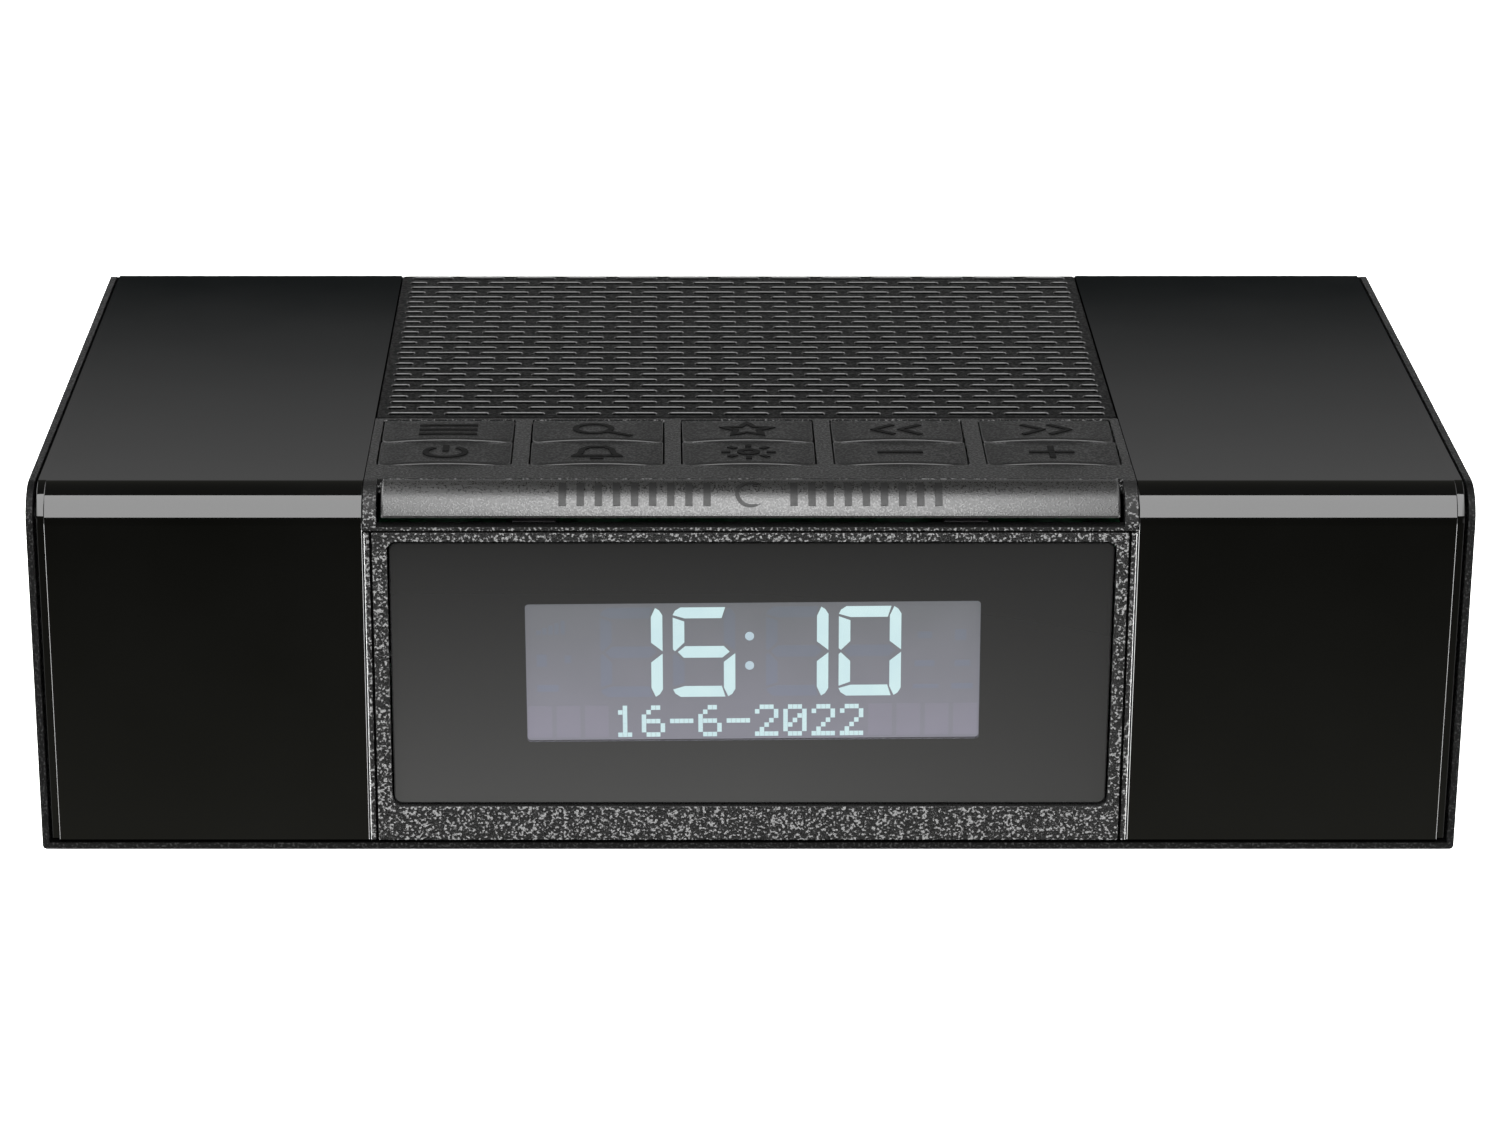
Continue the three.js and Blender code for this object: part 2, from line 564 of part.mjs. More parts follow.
// Half-round roll between the cone and the basket
function speakerSurround() {
  const { roll, thickness, steps } = SURROUND;
  const middle = CONE.outer + GAP + roll;
  const outside = [];
  const inside = [];
  for (let i = 0; i <= steps; i += 1) {
    const angle = Math.PI * (1 - i / steps);
    const along = Math.cos(angle);
    const up = Math.sin(angle);
    outside.push([middle + roll * along, CONE.rim + roll * up]);
    inside.unshift([middle + (roll - thickness) * along, CONE.rim + (roll - thickness) * up]);
  }
  return turned([...outside, ...inside, outside[0]], 0, SPEAKER_Y);
}

// Shallow dome over the neck of the cone
function dustCap() {
  const { radius, base, rise, thickness, steps } = DUST_CAP;
  const outside = [];
  const inside = [];
  for (let i = 0; i <= steps; i += 1) {
    const share = i / steps;
    const height = base + rise * (1 - share ** 2);
    outside.push([radius * share, height]);
    inside.unshift([(radius - thickness) * share, height - thickness * (1 - share)]);
  }
  return turned([...outside, ...inside], 0, SPEAKER_Y);
}

const voiceCoil = () => ring(COIL.inner, COIL.outer, COIL.bottom, COIL.top);
const speakerGasket = () => ring(GASKET.inner, GASKET.outer, FLANGE_TOP + GAP, TOP - SKIN - GAP);

// Fasteners and feet ----------------------------------------------------------------------

// Pan-head screw driven upwards, with a cross recess in its head
function screw(x, y, headBottom, head, shankRadius, tip) {
  const headTop = headBottom + head.height;
  const body = turned([
    [0, headBottom], [head.radius * HEAD_FLAT, headBottom], [head.radius, headBottom + head.height / 2],
    [head.radius, headTop], [shankRadius, headTop], [shankRadius, tip - shankRadius], [0, tip],
  ], x, y, SMALL_STEPS);
  const arm = head.radius * RECESS.reach;
  const blade = RECESS.halfWidth;
  const recess = [headBottom - ROOT, headBottom + head.height * RECESS.depth];
  return cut(body,
    block([x - arm, x + arm], [y - blade, y + blade], recess),
    block([x - blade, x + blade], [y - arm, y + arm], recess));
}

function rubberFoot(x, y) {
  const top = BASE + FOOT_RECESS - GAP;
  return turned([
    [0, 0], [FOOT_RADIUS - FOOT_CHAMFER, 0], [FOOT_RADIUS, FOOT_CHAMFER], [FOOT_RADIUS, top], [0, top],
  ], x, y);
}

// Assembly ------------------------------------------------------------------------------------

const radio = new THREE.Group();

function add(name, geometry, material) {
  const mesh = new THREE.Mesh(closed(geometry), material());
  mesh.name = name;
  radio.add(mesh);
}

add('bottom_housing', bottomHousing(), FINISHES.texturedPlastic);
add('left_gloss_panel', glossPanel(-1), FINISHES.glossPlastic);
add('right_gloss_panel', glossPanel(1), FINISHES.glossPlastic);
add('key_deck', keyDeck(), FINISHES.texturedPlastic);
add('display_bezel', displayBezel(), FINISHES.texturedPlastic);
add('speaker_grille', speakerGrille(), FINISHES.texturedPlastic);

KEY_NAMES.forEach((pair, column) => pair.forEach((name, row) => {
  const x = keyColumnX(column);
  const range = keyRange(row);
  add(name, keyCap(x, range), FINISHES.keyPlastic);
  add(name.replace('key_', 'switch_'), tactSwitch(x, (range[0] + range[1]) / 2), FINISHES.blackPlastic);
}));
add('snooze_bar', snoozeBar(), FINISHES.keyPlastic);
add('switch_snooze_left', tactSwitch(-SNOOZE_SWITCH.x, SNOOZE_SWITCH.y), FINISHES.blackPlastic);
add('switch_snooze_right', tactSwitch(SNOOZE_SWITCH.x, SNOOZE_SWITCH.y), FINISHES.blackPlastic);
add('key_board', keyBoard(), FINISHES.circuitBoard);

add('display_lens', alongY(lensOutline(0), LENS_FRONT, LENS_REAR), FINISHES.smokedLens);
add('display_carrier', displayCarrier(), FINISHES.blackPlastic);
add('lcd_glass', displayBlock(GLASS, GLASS_FRONT, GLASS_FRONT + GLASS.thickness), FINISHES.displayGlass);
add('light_guide', displayBlock(GLASS, GUIDE_FRONT, GUIDE_FRONT + LIGHT_GUIDE_THICKNESS),
  FINISHES.whitePlastic);
add('display_board', block([-CARRIER.halfWidth, CARRIER.halfWidth],
  [DISPLAY_BOARD_FRONT, DISPLAY_BOARD_FRONT + BOARD_THICKNESS], [CARRIER.bottom, CARRIER.top]),
FINISHES.circuitBoard);

const boardTop = MAIN_BOARD.bottom + BOARD_THICKNESS;
add('main_board', block([-MAIN_BOARD.half, MAIN_BOARD.half], [MAIN_BOARD.front, MAIN_BOARD.rear],
  [MAIN_BOARD.bottom, boardTop]), FINISHES.circuitBoard);
add('tuner_module', block([TUNER.x - TUNER.width / 2, TUNER.x + TUNER.width / 2],
  [TUNER.y - TUNER.depth / 2, TUNER.y + TUNER.depth / 2],
  [boardTop + GAP, boardTop + GAP + TUNER.height]), FINISHES.tinnedSteel);
add('dc_jack', socket(DC_JACK), FINISHES.blackPlastic);
add('headphone_jack', socket(PHONES_JACK), FINISHES.blackPlastic);
add('aerial_grommet', aerialGrommet(), FINISHES.rubber);

add('speaker_gasket', speakerGasket(), FINISHES.foam);
add('speaker_basket', speakerBasket(), FINISHES.darkSteel);
add('speaker_magnet', speakerMagnet(), FINISHES.ferrite);
add('speaker_surround', speakerSurround(), FINISHES.rubber);
add('speaker_cone', speakerCone(), FINISHES.coneFibre);
add('dust_cap', dustCap(), FINISHES.coneFibre);
add('voice_coil', voiceCoil(), FINISHES.copper);

const CORNER_NAMES = ['front_left', 'front_right', 'rear_left', 'rear_right'];
CORNER_NAMES.forEach((corner, i) => {
  const [footX, footY] = corners(FOOT_X, FOOT_Y)[i];
  const [caseX, caseY] = corners(SCREW_X, SCREW_Y)[i];
  const [speakerX, speakerY] = corners(SPEAKER_SCREW, SPEAKER_SCREW, SPEAKER_Y)[i];
  const caseHead = BASE + COUNTERBORE.depth - SCREW_HEAD.height - GAP;
  const speakerHead = FLANGE_TOP - FLANGE_THICKNESS - GAP - SPEAKER_SCREW_HEAD.height;
  add(`foot_${corner}`, rubberFoot(footX, footY), FINISHES.rubber);
  add(`case_screw_${corner}`, screw(caseX, caseY, caseHead, SCREW_HEAD, SCREW_SHANK.radius,
    caseHead + SCREW_SHANK.length), FINISHES.darkSteel);
  add(`speaker_screw_${corner}`, screw(speakerX, speakerY, speakerHead, SPEAKER_SCREW_HEAD,
    SPEAKER_SCREW_SHANK, SPEAKER_SCREW_TIP), FINISHES.darkSteel);
});

export default radio;
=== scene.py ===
# Tabletop clock radio: the finished surfaces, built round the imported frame. Metres, +Z up, front towards -Y.
import json
import math

import bmesh
import bpy
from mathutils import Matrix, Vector
from mathutils.geometry import delaunay_2d_cdt


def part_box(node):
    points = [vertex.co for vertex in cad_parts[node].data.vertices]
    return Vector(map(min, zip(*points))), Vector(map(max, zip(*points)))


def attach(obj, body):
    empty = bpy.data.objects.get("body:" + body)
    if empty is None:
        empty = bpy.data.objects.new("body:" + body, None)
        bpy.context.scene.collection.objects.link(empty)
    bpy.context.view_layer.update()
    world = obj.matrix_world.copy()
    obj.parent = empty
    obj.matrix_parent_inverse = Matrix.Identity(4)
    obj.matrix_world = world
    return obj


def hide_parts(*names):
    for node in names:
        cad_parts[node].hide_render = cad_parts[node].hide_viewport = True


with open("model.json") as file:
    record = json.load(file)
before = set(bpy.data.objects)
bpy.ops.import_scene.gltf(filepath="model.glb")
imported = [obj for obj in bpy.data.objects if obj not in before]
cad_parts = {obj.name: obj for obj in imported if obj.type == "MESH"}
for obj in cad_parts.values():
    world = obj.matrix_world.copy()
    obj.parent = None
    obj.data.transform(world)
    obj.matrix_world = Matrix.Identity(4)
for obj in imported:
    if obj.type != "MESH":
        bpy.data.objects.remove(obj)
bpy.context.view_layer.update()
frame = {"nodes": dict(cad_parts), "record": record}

MM = 0.001


# ---- Places and sizes, taken from the frame ----

(_, FRONT, BASE), (SIDE, REAR, TOP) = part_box("bottom_housing")
NOSE_RADIUS = 5 * MM
NOSE_Y = FRONT + NOSE_RADIUS
NOSE_Z = TOP - NOSE_RADIUS
SKIN = 2.2 * MM                  # thickness of the skins, the deck and the grille
ARC_STEPS = 28                   # steps round the nose
HAIR = 0.02 * MM                 # what lies this near to a face counts as on it

KEYS = ("key_menu", "key_power", "key_scan", "key_alarm", "key_preset", "key_dimmer",
        "key_tune_down", "key_volume_down", "key_tune_up", "key_volume_up")


# ---- Mesh helpers ----

def new_object(name, bm, material, sharp_degrees=32.0):
    """Finishes a bmesh as a smooth-shaded object whose hard edges stay hard."""
    bmesh.ops.recalc_face_normals(bm, faces=bm.faces)
    limit = math.radians(sharp_degrees)
    for face in bm.faces:
        face.smooth = True
    for edge in bm.edges:
        if len(edge.link_faces) == 2:
            edge.smooth = edge.calc_face_angle(0.0) < limit
    mesh = bpy.data.meshes.new(name)
    bm.to_mesh(mesh)
    bm.free()
    obj = bpy.data.objects.new(name, mesh)
    bpy.context.scene.collection.objects.link(obj)
    mesh.materials.append(material)
    return obj


def rounded(bm, width, segments=2, degrees=40.0, chosen=lambda point: True):
    """Rounds the edges sharper than an angle whose two ends both pass the test chosen(point)."""
    limit = math.radians(degrees)
    edges = [e for e in bm.edges if len(e.link_faces) == 2 and e.calc_face_angle(0.0) > limit
             and all(chosen(v.co) for v in e.verts)]
    bmesh.ops.bevel(bm, geom=edges, offset=width, offset_type="OFFSET", segments=segments,
                    profile=0.5, affect="EDGES", clamp_overlap=True, harden_normals=False)
    return bm


def shaved(bm, centre, radius, first, second, cuts):
    """Rounds a long straight corner by flat cuts that touch a cylinder between two directions."""
    for number in range(1, cuts + 1):
        turn = math.pi / 2 * number / (cuts + 1)
        normal = math.cos(turn) * first + math.sin(turn) * second
        cut = bmesh.ops.bisect_plane(bm, geom=bm.verts[:] + bm.edges[:] + bm.faces[:], dist=1e-7,
                                     plane_co=centre + radius * normal, plane_no=normal, clear_outer=True)
        rim = [item for item in cut["geom_cut"] if isinstance(item, bmesh.types.BMEdge)]
        bmesh.ops.holes_fill(bm, edges=rim)
    return bm


def weighted(obj):
    """Keeps flat faces flat beside their rounded edges."""
    modifier = obj.modifiers.new("flat_faces", "WEIGHTED_NORMAL")
    modifier.keep_sharp = True
    modifier.weight = 60
    return obj


def place(obj, body, slot, *nodes):
    """Hands a finished piece to the frame."""
    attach(obj, body)
    if nodes:
        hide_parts(*nodes)
    return obj


def node_bmesh(node):
    """The CAD solid of a node as a clean bmesh with merged, flat-dissolved faces."""
    bm = bmesh.new()
    bm.from_mesh(frame["nodes"][node].data)
    bmesh.ops.remove_doubles(bm, verts=bm.verts, dist=2e-6)
    bmesh.ops.dissolve_limit(bm, angle_limit=math.radians(0.5), verts=bm.verts, edges=bm.edges)
    return bm


def softened(name, node, material, width, segments=2, degrees=40.0):
    """A piece with the shape of a CAD node and moulded, rounded edges."""
    bm = rounded(node_bmesh(node), width, segments, degrees)
    return weighted(new_object(name, bm, material))


def arc(centre, radius, start, end, steps):
    """Points (a, b) along an arc, angles in degrees."""
    angles = [math.radians(start + (end - start) * i / steps) for i in range(steps + 1)]
    return [(centre[0] + radius * math.cos(angle), centre[1] + radius * math.sin(angle)) for angle in angles]


def between(start, end, steps):
    """The points that divide a straight line into equal steps, without its ends."""
    return [tuple(a + (b - a) * i / steps for a, b in zip(start, end)) for i in range(1, steps)]


def bridge(bm, near, far, finish=0):
    """Joins two matching loops; finish is the number of the faces' material."""
    for i in range(len(near)):
        j = (i + 1) % len(near)
        bm.faces.new((near[i], near[j], far[j], far[i])).material_index = finish


def loft(bm, rings):
    """Bridges rings of matching points and caps the two ends."""
    loops = [[bm.verts.new(point) for point in ring] for ring in rings]
    for near, far in zip(loops, loops[1:]):
        bridge(bm, near, far)
    bm.faces.new(loops[0])
    bm.faces.new(loops[-1])
    return bm


def prism(bm, outline, start, depth, plane="xz"):
    """Adds one closed prism from a 2-D outline in the XZ or XY plane, from start along the third axis."""
    loft(bm, [[(a, level, b) if plane == "xz" else (a, b, level) for a, b in outline]
              for level in (start, start + depth)])


def raised_strip(bm, first, second, low, high, closed=False):
    """A raised band between two matching edges; low and high turn an edge's 2-D point into a place."""
    rows = [[bm.verts.new(level(p)) for p in edge]
            for edge, level in ((first, high), (second, high), (second, low), (first, low))]
    count = len(first)
    for i in range(count if closed else count - 1):
        j = (i + 1) % count
        for row, beside in zip(rows, rows[1:] + rows[:1]):
            bm.faces.new((row[i], row[j], beside[j], beside[i]))
    if not closed:
        for end in (0, -1):
            bm.faces.new([row[end] for row in rows])


def rounded_rectangle(x0, x1, y0, y1, radius, steps=5):
    """Outline of a rectangle with rounded corners, anticlockwise."""
    return (
        arc((x1 - radius, y0 + radius), radius, -90, 0, steps)
        + arc((x1 - radius, y1 - radius), radius, 0, 90, steps)
        + arc((x0 + radius, y1 - radius), radius, 90, 180, steps)
        + arc((x0 + radius, y0 + radius), radius, 180, 270, steps)
    )


# ---- Materials ----

def set_inputs(tree, node, inputs):
    """Sets a node's inputs by name or number: sockets are linked from, other values are written."""
    for key, value in inputs.items():
        if isinstance(value, bpy.types.NodeSocket):
            tree.links.new(value, node.inputs[key])
        else:
            node.inputs[key].default_value = value


def add_node(tree, kind, inputs=None, **settings):
    node = tree.nodes.new("ShaderNode" + kind)
    for name, value in settings.items():
        setattr(node, name, value)
    set_inputs(tree, node, inputs or {})
    return node


def math_node(tree, operation, *values):
    return add_node(tree, "Math", dict(enumerate(values)), operation=operation).outputs[0]


class Shader:
    """A node material with a Principled shader and a few ways to vary it."""

    def __init__(self, name, color, roughness, specular=0.5, metallic=0.0):
        self.material = bpy.data.materials.new(name)
        self.material.use_nodes = True
        self.tree = self.material.node_tree
        self.surface = self.tree.nodes["Principled BSDF"]
        self.place = add_node(self.tree, "TexCoord").outputs["Object"]
        set_inputs(self.tree, self.surface, {"Base Color": (*color, 1), "Roughness": roughness,
                                             "Specular IOR Level": specular, "Metallic": metallic})

    def feed(self, socket, value):
        """Gives the surface a value, or the output that drives it."""
        set_inputs(self.tree, self.surface, {socket: value})

    def noise(self, size, detail=2.0, rough=0.5, stretch=None):
        """Noise whose features are about size metres across."""
        source = self.place
        if stretch:
            source = add_node(self.tree, "Mapping", {"Vector": source, "Scale": stretch}).outputs["Vector"]
        return add_node(self.tree, "TexNoise", {"Vector": source, "Scale": 1 / size, "Detail": detail,
                                                "Roughness": rough}).outputs["Fac"]

    def spread(self, value, low, high, start=0.3, stop=0.7):
        """Remaps a value from start..stop to low..high."""
        return add_node(self.tree, "MapRange", {"Value": value, "From Min": start, "From Max": stop,
                                                "To Min": low, "To Max": high}).outputs["Result"]

    def blend(self, value, low, high, start=0.3, stop=0.7):
        """A colour between two colours, driven by a value."""
        ramp = add_node(self.tree, "ValToRGB", {"Fac": value})
        for element, position, color in zip(ramp.color_ramp.elements, (start, stop), (low, high)):
            element.position = position
            element.color = (*color, 1)
        return ramp.outputs["Color"]

    def along(self, vector, name):
        """One coordinate of a vector."""
        return add_node(self.tree, "SeparateXYZ", {"Vector": vector}).outputs[name]

    def facing(self, name):
        """How far the surface looks along one axis of the object."""
        return self.along(add_node(self.tree, "TexCoord").outputs["Normal"], name)

    def mixed(self, share, first, second):
        """A colour between two linked colours."""
        mix = add_node(self.tree, "Mix", {"Factor": share, "A": first, "B": second}, data_type="RGBA")
        return mix.outputs["Result"]

    def bump(self, height, distance, strength=1.0):
        """Relief that follows a value, on top of any relief there is."""
        node = add_node(self.tree, "Bump", {"Strength": strength, "Distance": distance, "Height": height})
        before = self.surface.inputs["Normal"]
        if before.is_linked:
            self.tree.links.new(before.links[0].from_socket, node.inputs["Normal"])
        self.feed("Normal", node.outputs["Normal"])


def grey(level):
    return (level, level, level)


def grained_plastic(name, painted_glint_grey, top, grain, depth, roughness, specular, pits=0.001, uneven=1.0):
    """Spark-eroded moulded plastic: dark pits between pale spots that are painted glints, calmer on faces that
    look upwards, which take an even colour without the painted glints as the light falls differently on them.

    The crest level (the grey of the painted glints), pits and top are grey levels, grain is the size of a spot
    and depth its relief.
    """
    shader = Shader(name, grey(pits), roughness, specular)
    tooth = shader.noise(grain)
    # painted glints: the pale spots in the colour stand in for light glinting off the grain
    painted_glints = shader.blend(tooth, grey(pits), grey(painted_glint_grey), 0.54, 0.63)
    calm = shader.blend(tooth, grey(top), grey(1.25 * top), 0.44, 0.62)
    # painted light: faces that look upwards take the calm colour, the others the painted glints
    upward = shader.spread(shader.facing("Z"), 0.0, 1.0, 0.25, 0.95)
    shader.feed("Base Color", shader.mixed(upward, painted_glints, calm))
    dull, shiny = roughness + 0.14 * uneven, roughness - 0.08 * uneven
    shader.feed("Roughness", shader.spread(tooth, dull, shiny, 0.42, 0.62))
    shader.bump(tooth, depth)
    shader.bump(shader.noise(grain * 0.5, 1.0), depth * 0.4, 0.8)
    return shader.material


def gloss_plastic():
    """Piano-black moulding with a faint ripple and a trace of handling haze."""
    shader = Shader("piano_black", (0.0006, 0.0006, 0.0005), 0.03, 0.5)
    haze = shader.noise(28 * MM, 3.0, 0.55)
    shader.feed("Roughness", shader.spread(haze, 0.022, 0.05))
    shader.feed("Base Color", shader.blend(haze, (0.0004, 0.0004, 0.0003), (0.0010, 0.0010, 0.0009)))
    shader.bump(shader.noise(22 * MM, 1.0, 0.4), 0.02 * MM, 0.25)
    return shader.material


def simple_surface(name, low, high, size, roughness, depth=0.0, metallic=0.0, stretch=None, specular=0.5):
    """Colour between low and high, gloss and fine relief, which vary together at one size."""
    shader = Shader(name, low, roughness, specular, metallic)
    field = shader.noise(size, 3.0, 0.6, stretch)
    shader.feed("Base Color", shader.blend(field, low, high))
    shader.feed("Roughness", shader.spread(field, roughness * 1.12, roughness * 0.88))
    if depth:
        shader.bump(field, depth, 0.7)
    return shader.material


# The lens's colour runs from LENS_TOP to LENS_FOOT: a painted reflection, paler towards the bottom left
LENS_TOP = grey(0.0102)
LENS_FOOT = grey(0.0300)


def smoked_lens():
    """Polished smoked acrylic over a dark mask, with a painted reflection that pales it towards the bottom
    left.
    """
    shader = Shader("smoked_lens", (0.03, 0.03, 0.031), 0.04, 0.5)
    low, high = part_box("display_lens")
    # painted reflection: paler towards the bottom and towards the left
    fall = shader.spread(shader.along(shader.place, "Z"), 1.0, 0.0, low.z, high.z)
    fade = shader.spread(shader.along(shader.place, "X"), 1.0, 0.55, 0.0, high.x)
    share = math_node(shader.tree, "MULTIPLY", fall, fade)
    shader.feed("Base Color", shader.blend(share, LENS_TOP, LENS_FOOT, 0.0, 1.0))
    shader.feed("Roughness", shader.spread(shader.noise(20 * MM), 0.03, 0.055))
    return shader.material


def window_pane():
    """Clear patch of the lens in front of the display."""
    shader = Shader("window_pane", (0.02, 0.02, 0.022), 0.03, 0.5)
    shader.feed("Roughness", shader.spread(shader.noise(20 * MM), 0.025, 0.05))
    shader.feed("Alpha", 0.14)
    return shader.material


def glowing(name, low, high, strength, size):
    """Backlit area with a little unevenness."""
    shader = Shader(name, (0.02, 0.02, 0.02), 0.5)
    field = shader.noise(size)
    shader.feed("Emission Color", shader.blend(field, low, high))
    shader.feed("Emission Strength", strength)
    return shader.material


GLOW_TOP = (0.172, 0.180, 0.196)
GLOW_FOOT = (0.292, 0.290, 0.346)
GLOW_MARGIN = 5 * MM             # the glow stays even this near to the glass's upper and lower edges


def display_ground(name, tint=(1.0, 1.0, 1.0)):
    """Backlit glass: lilac grey, brighter towards the bottom."""
    shader = Shader(name, (0.02, 0.02, 0.02), 0.4)
    low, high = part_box("lcd_glass")
    down = shader.spread(shader.along(shader.place, "Z"), 1.0, 0.0, low.z + GLOW_MARGIN, high.z - GLOW_MARGIN)
    mottled = math_node(shader.tree, "ADD", down, shader.spread(shader.noise(9 * MM), -0.06, 0.06))
    dim, bright = ([channel * part for channel, part in zip(color, tint)] for color in (GLOW_TOP, GLOW_FOOT))
    shader.feed("Emission Color", shader.blend(mottled, dim, bright, 0.0, 1.0))
    shader.feed("Emission Strength", 1.0)
    return shader.material


def circuit_board():
    """Solder mask with faint traces showing through."""
    shader = Shader("circuit_board", (0.012, 0.07, 0.03), 0.35)
    weave = shader.noise(3 * MM, stretch=(1.0, 6.0, 1.0))
    shader.feed("Base Color", shader.blend(weave, (0.008, 0.055, 0.022), (0.02, 0.10, 0.045), 0.45, 0.55))
    shader.feed("Roughness", shader.spread(weave, 0.42, 0.28))
    return shader.material


# The first grey level of each grained plastic is the brightness of its painted glints
BEZEL_PLASTIC = grained_plastic("grained_black", painted_glint_grey=0.155, top=0.010, grain=0.36 * MM, depth=0.18 * MM,
                                roughness=0.27, specular=0.22)
HOUSING_PLASTIC = grained_plastic("housing_black", painted_glint_grey=0.024, top=0.001, grain=0.34 * MM, depth=0.08 * MM,
                                  roughness=0.40, specular=0.1)
DECK_PLASTIC = grained_plastic("deck_black", painted_glint_grey=0.140, top=0.005, grain=0.38 * MM, depth=0.07 * MM,
                               roughness=0.44, specular=0.22)
GRILLE_PLASTIC = grained_plastic("grille_black", painted_glint_grey=0.003, top=0.0006, grain=0.45 * MM, depth=0.03 * MM,
                                 roughness=0.42, specular=0.04)
KEY_PLASTIC = grained_plastic("key_black", painted_glint_grey=0.008, top=0.0035, grain=0.35 * MM, depth=0.02 * MM,
                              roughness=0.46, specular=0.18, pits=0.002)
SNOOZE_PLASTIC = grained_plastic("snooze_black", painted_glint_grey=0.008, top=0.001, grain=0.25 * MM, depth=0.024 * MM,
                                 roughness=0.33, specular=0.9, pits=0.002, uneven=0.9)
# painted shade: a near-black colour for the groove beside the display, the slot walls and the grille's outer
# wall
SHADE = simple_surface("deep_shade", grey(0.0006), grey(0.0012), 0.8 * MM, 0.7, specular=0.03)
# partly painted highlight: the slot chamfers are paler than the plate, and their real gloss catches the lamps
GRILLE_EDGE_PAINTED_HIGHLIGHT = simple_surface("grille_edge_painted_highlight", grey(0.002), grey(0.009), 0.6 * MM, 0.25, specular=0.54)
KEY_EDGE = simple_surface("key_edge", grey(0.004), grey(0.008), 0.5 * MM, 0.34, specular=0.4)
# painted highlight: a pale, glossy colour for the bezel's outer rounded edges
BEZEL_PAINTED_HIGHLIGHT = simple_surface("bezel_painted_highlight", grey(0.060), grey(0.240), 0.5 * MM, 0.20, 0.02 * MM, specular=1.0)
MARKS = simple_surface("mark_black", grey(0.0015), grey(0.003), 0.5 * MM, 0.45, 0.01 * MM, specular=0.35)
SIGNS = simple_surface("symbol_black", grey(0.0008), grey(0.0016), 0.5 * MM, 0.6, specular=0.05)
GLOSS = gloss_plastic()
LENS = smoked_lens()
PANE = window_pane()
GROUND = display_ground("display_ground")
LIT = glowing("lit_segments", (0.69, 0.93, 0.97), (0.74, 0.98, 1.0), 1.07, 4 * MM)
COLON = glowing("lit_colon", (0.56, 0.73, 0.83), (0.62, 0.78, 0.88), 1.0, 2 * MM)
GHOST = display_ground("unlit_segments", (0.955, 1.03, 1.13))
CELLS = display_ground("unlit_cells", (1.09, 1.06, 1.10))
RUBBER = simple_surface("foot_rubber", (0.010, 0.010, 0.011), (0.020, 0.020, 0.021), 0.6 * MM, 0.8, 0.01 * MM)
INNER = simple_surface("inner_black", (0.008, 0.008, 0.009), (0.016, 0.016, 0.017), 0.8 * MM, 0.5, 0.01 * MM)
STEEL = simple_surface("black_zinc", (0.05, 0.05, 0.055), (0.10, 0.10, 0.11), 0.7 * MM, 0.38, 0.004 * MM, 1.0)
SLOT_MATERIALS = {
    "textured_black": HOUSING_PLASTIC,
    "gloss_black": GLOSS,
    "key_black": KEY_PLASTIC,
    "smoked_lens": LENS,
    "lcd": GROUND,
    "inner_black": INNER,
    "light_guide": simple_surface("light_guide", (0.72, 0.72, 0.70), (0.82, 0.82, 0.80), 2 * MM, 0.35),
    "circuit_board": circuit_board(),
    "tinned_steel": simple_surface("tinned_steel", (0.42, 0.43, 0.44), (0.55, 0.56, 0.57), 2 * MM, 0.3,
                                   0.004 * MM, 1.0, (1.0, 8.0, 1.0)),
    "dark_steel": STEEL,
    "ferrite": simple_surface("ferrite", (0.02, 0.02, 0.021), (0.035, 0.035, 0.037), 0.5 * MM, 0.6,
                              0.02 * MM),
    "soft_rubber": RUBBER,
    "cone_fibre": simple_surface("cone_fibre", (0.009, 0.009, 0.009), (0.020, 0.020, 0.019), 0.8 * MM, 0.9,
                                 0.05 * MM),
    "foam": simple_surface("foam", (0.010, 0.010, 0.010), (0.022, 0.022, 0.022), 0.5 * MM, 0.95, 0.08 * MM),
    "copper": simple_surface("copper", (0.45, 0.16, 0.05), (0.60, 0.24, 0.09), 0.3 * MM, 0.3, 0.01 * MM, 1.0,
                             (1.0, 1.0, 6.0)),
}


def dress_frame():
    """Every CAD node gets the finish of its slot; those that a piece replaces are hidden later."""
    slots = {row["node"]: row["material_slot"] for row in frame["record"]["subparts"]}
    for name, obj in frame["nodes"].items():
        if not obj.material_slots:
            obj.data.materials.append(None)
        for holder in obj.material_slots:
            holder.link = "OBJECT"
            holder.material = SLOT_MATERIALS[slots[name]]


# ---- Casing ----

SKIN_EDGE = 0.16 * MM            # radius of a skin's edges
SKIN_BORDER = 1.1 * MM           # width of the lower border along a skin's outer side
SKIN_STEP = 0.5 * MM             # how far the border lies back at the front
SKIN_REACH = 0.18 * MM           # how far a skin covers the gap to the middle band
SKIN_EDGE_STEPS = 3


def skin_ring(x, sunk, rear, bottom):
    """The L-shaped section of a skin at one x; its outside lies back by sunk at the front, but not on top."""
    profile = [(rear, TOP)]
    for step in range(ARC_STEPS + 1):
        turn = math.pi / 2 * (1 + step / ARC_STEPS)
        radius = NOSE_RADIUS - sunk * math.sin(math.pi / 2 * step / ARC_STEPS)
        profile.append((NOSE_Y + radius * math.cos(turn), NOSE_Z + radius * math.sin(turn)))
    profile += arc((FRONT + sunk + SKIN_EDGE, bottom + SKIN_EDGE), SKIN_EDGE, 180, 270, SKIN_EDGE_STEPS)
    profile += [(FRONT + SKIN, bottom)]
    profile += arc((NOSE_Y, NOSE_Z), NOSE_RADIUS - SKIN, 180, 90, ARC_STEPS)
    profile += [(rear, TOP - SKIN)]
    return [Vector((x, y, z)) for y, z in profile]


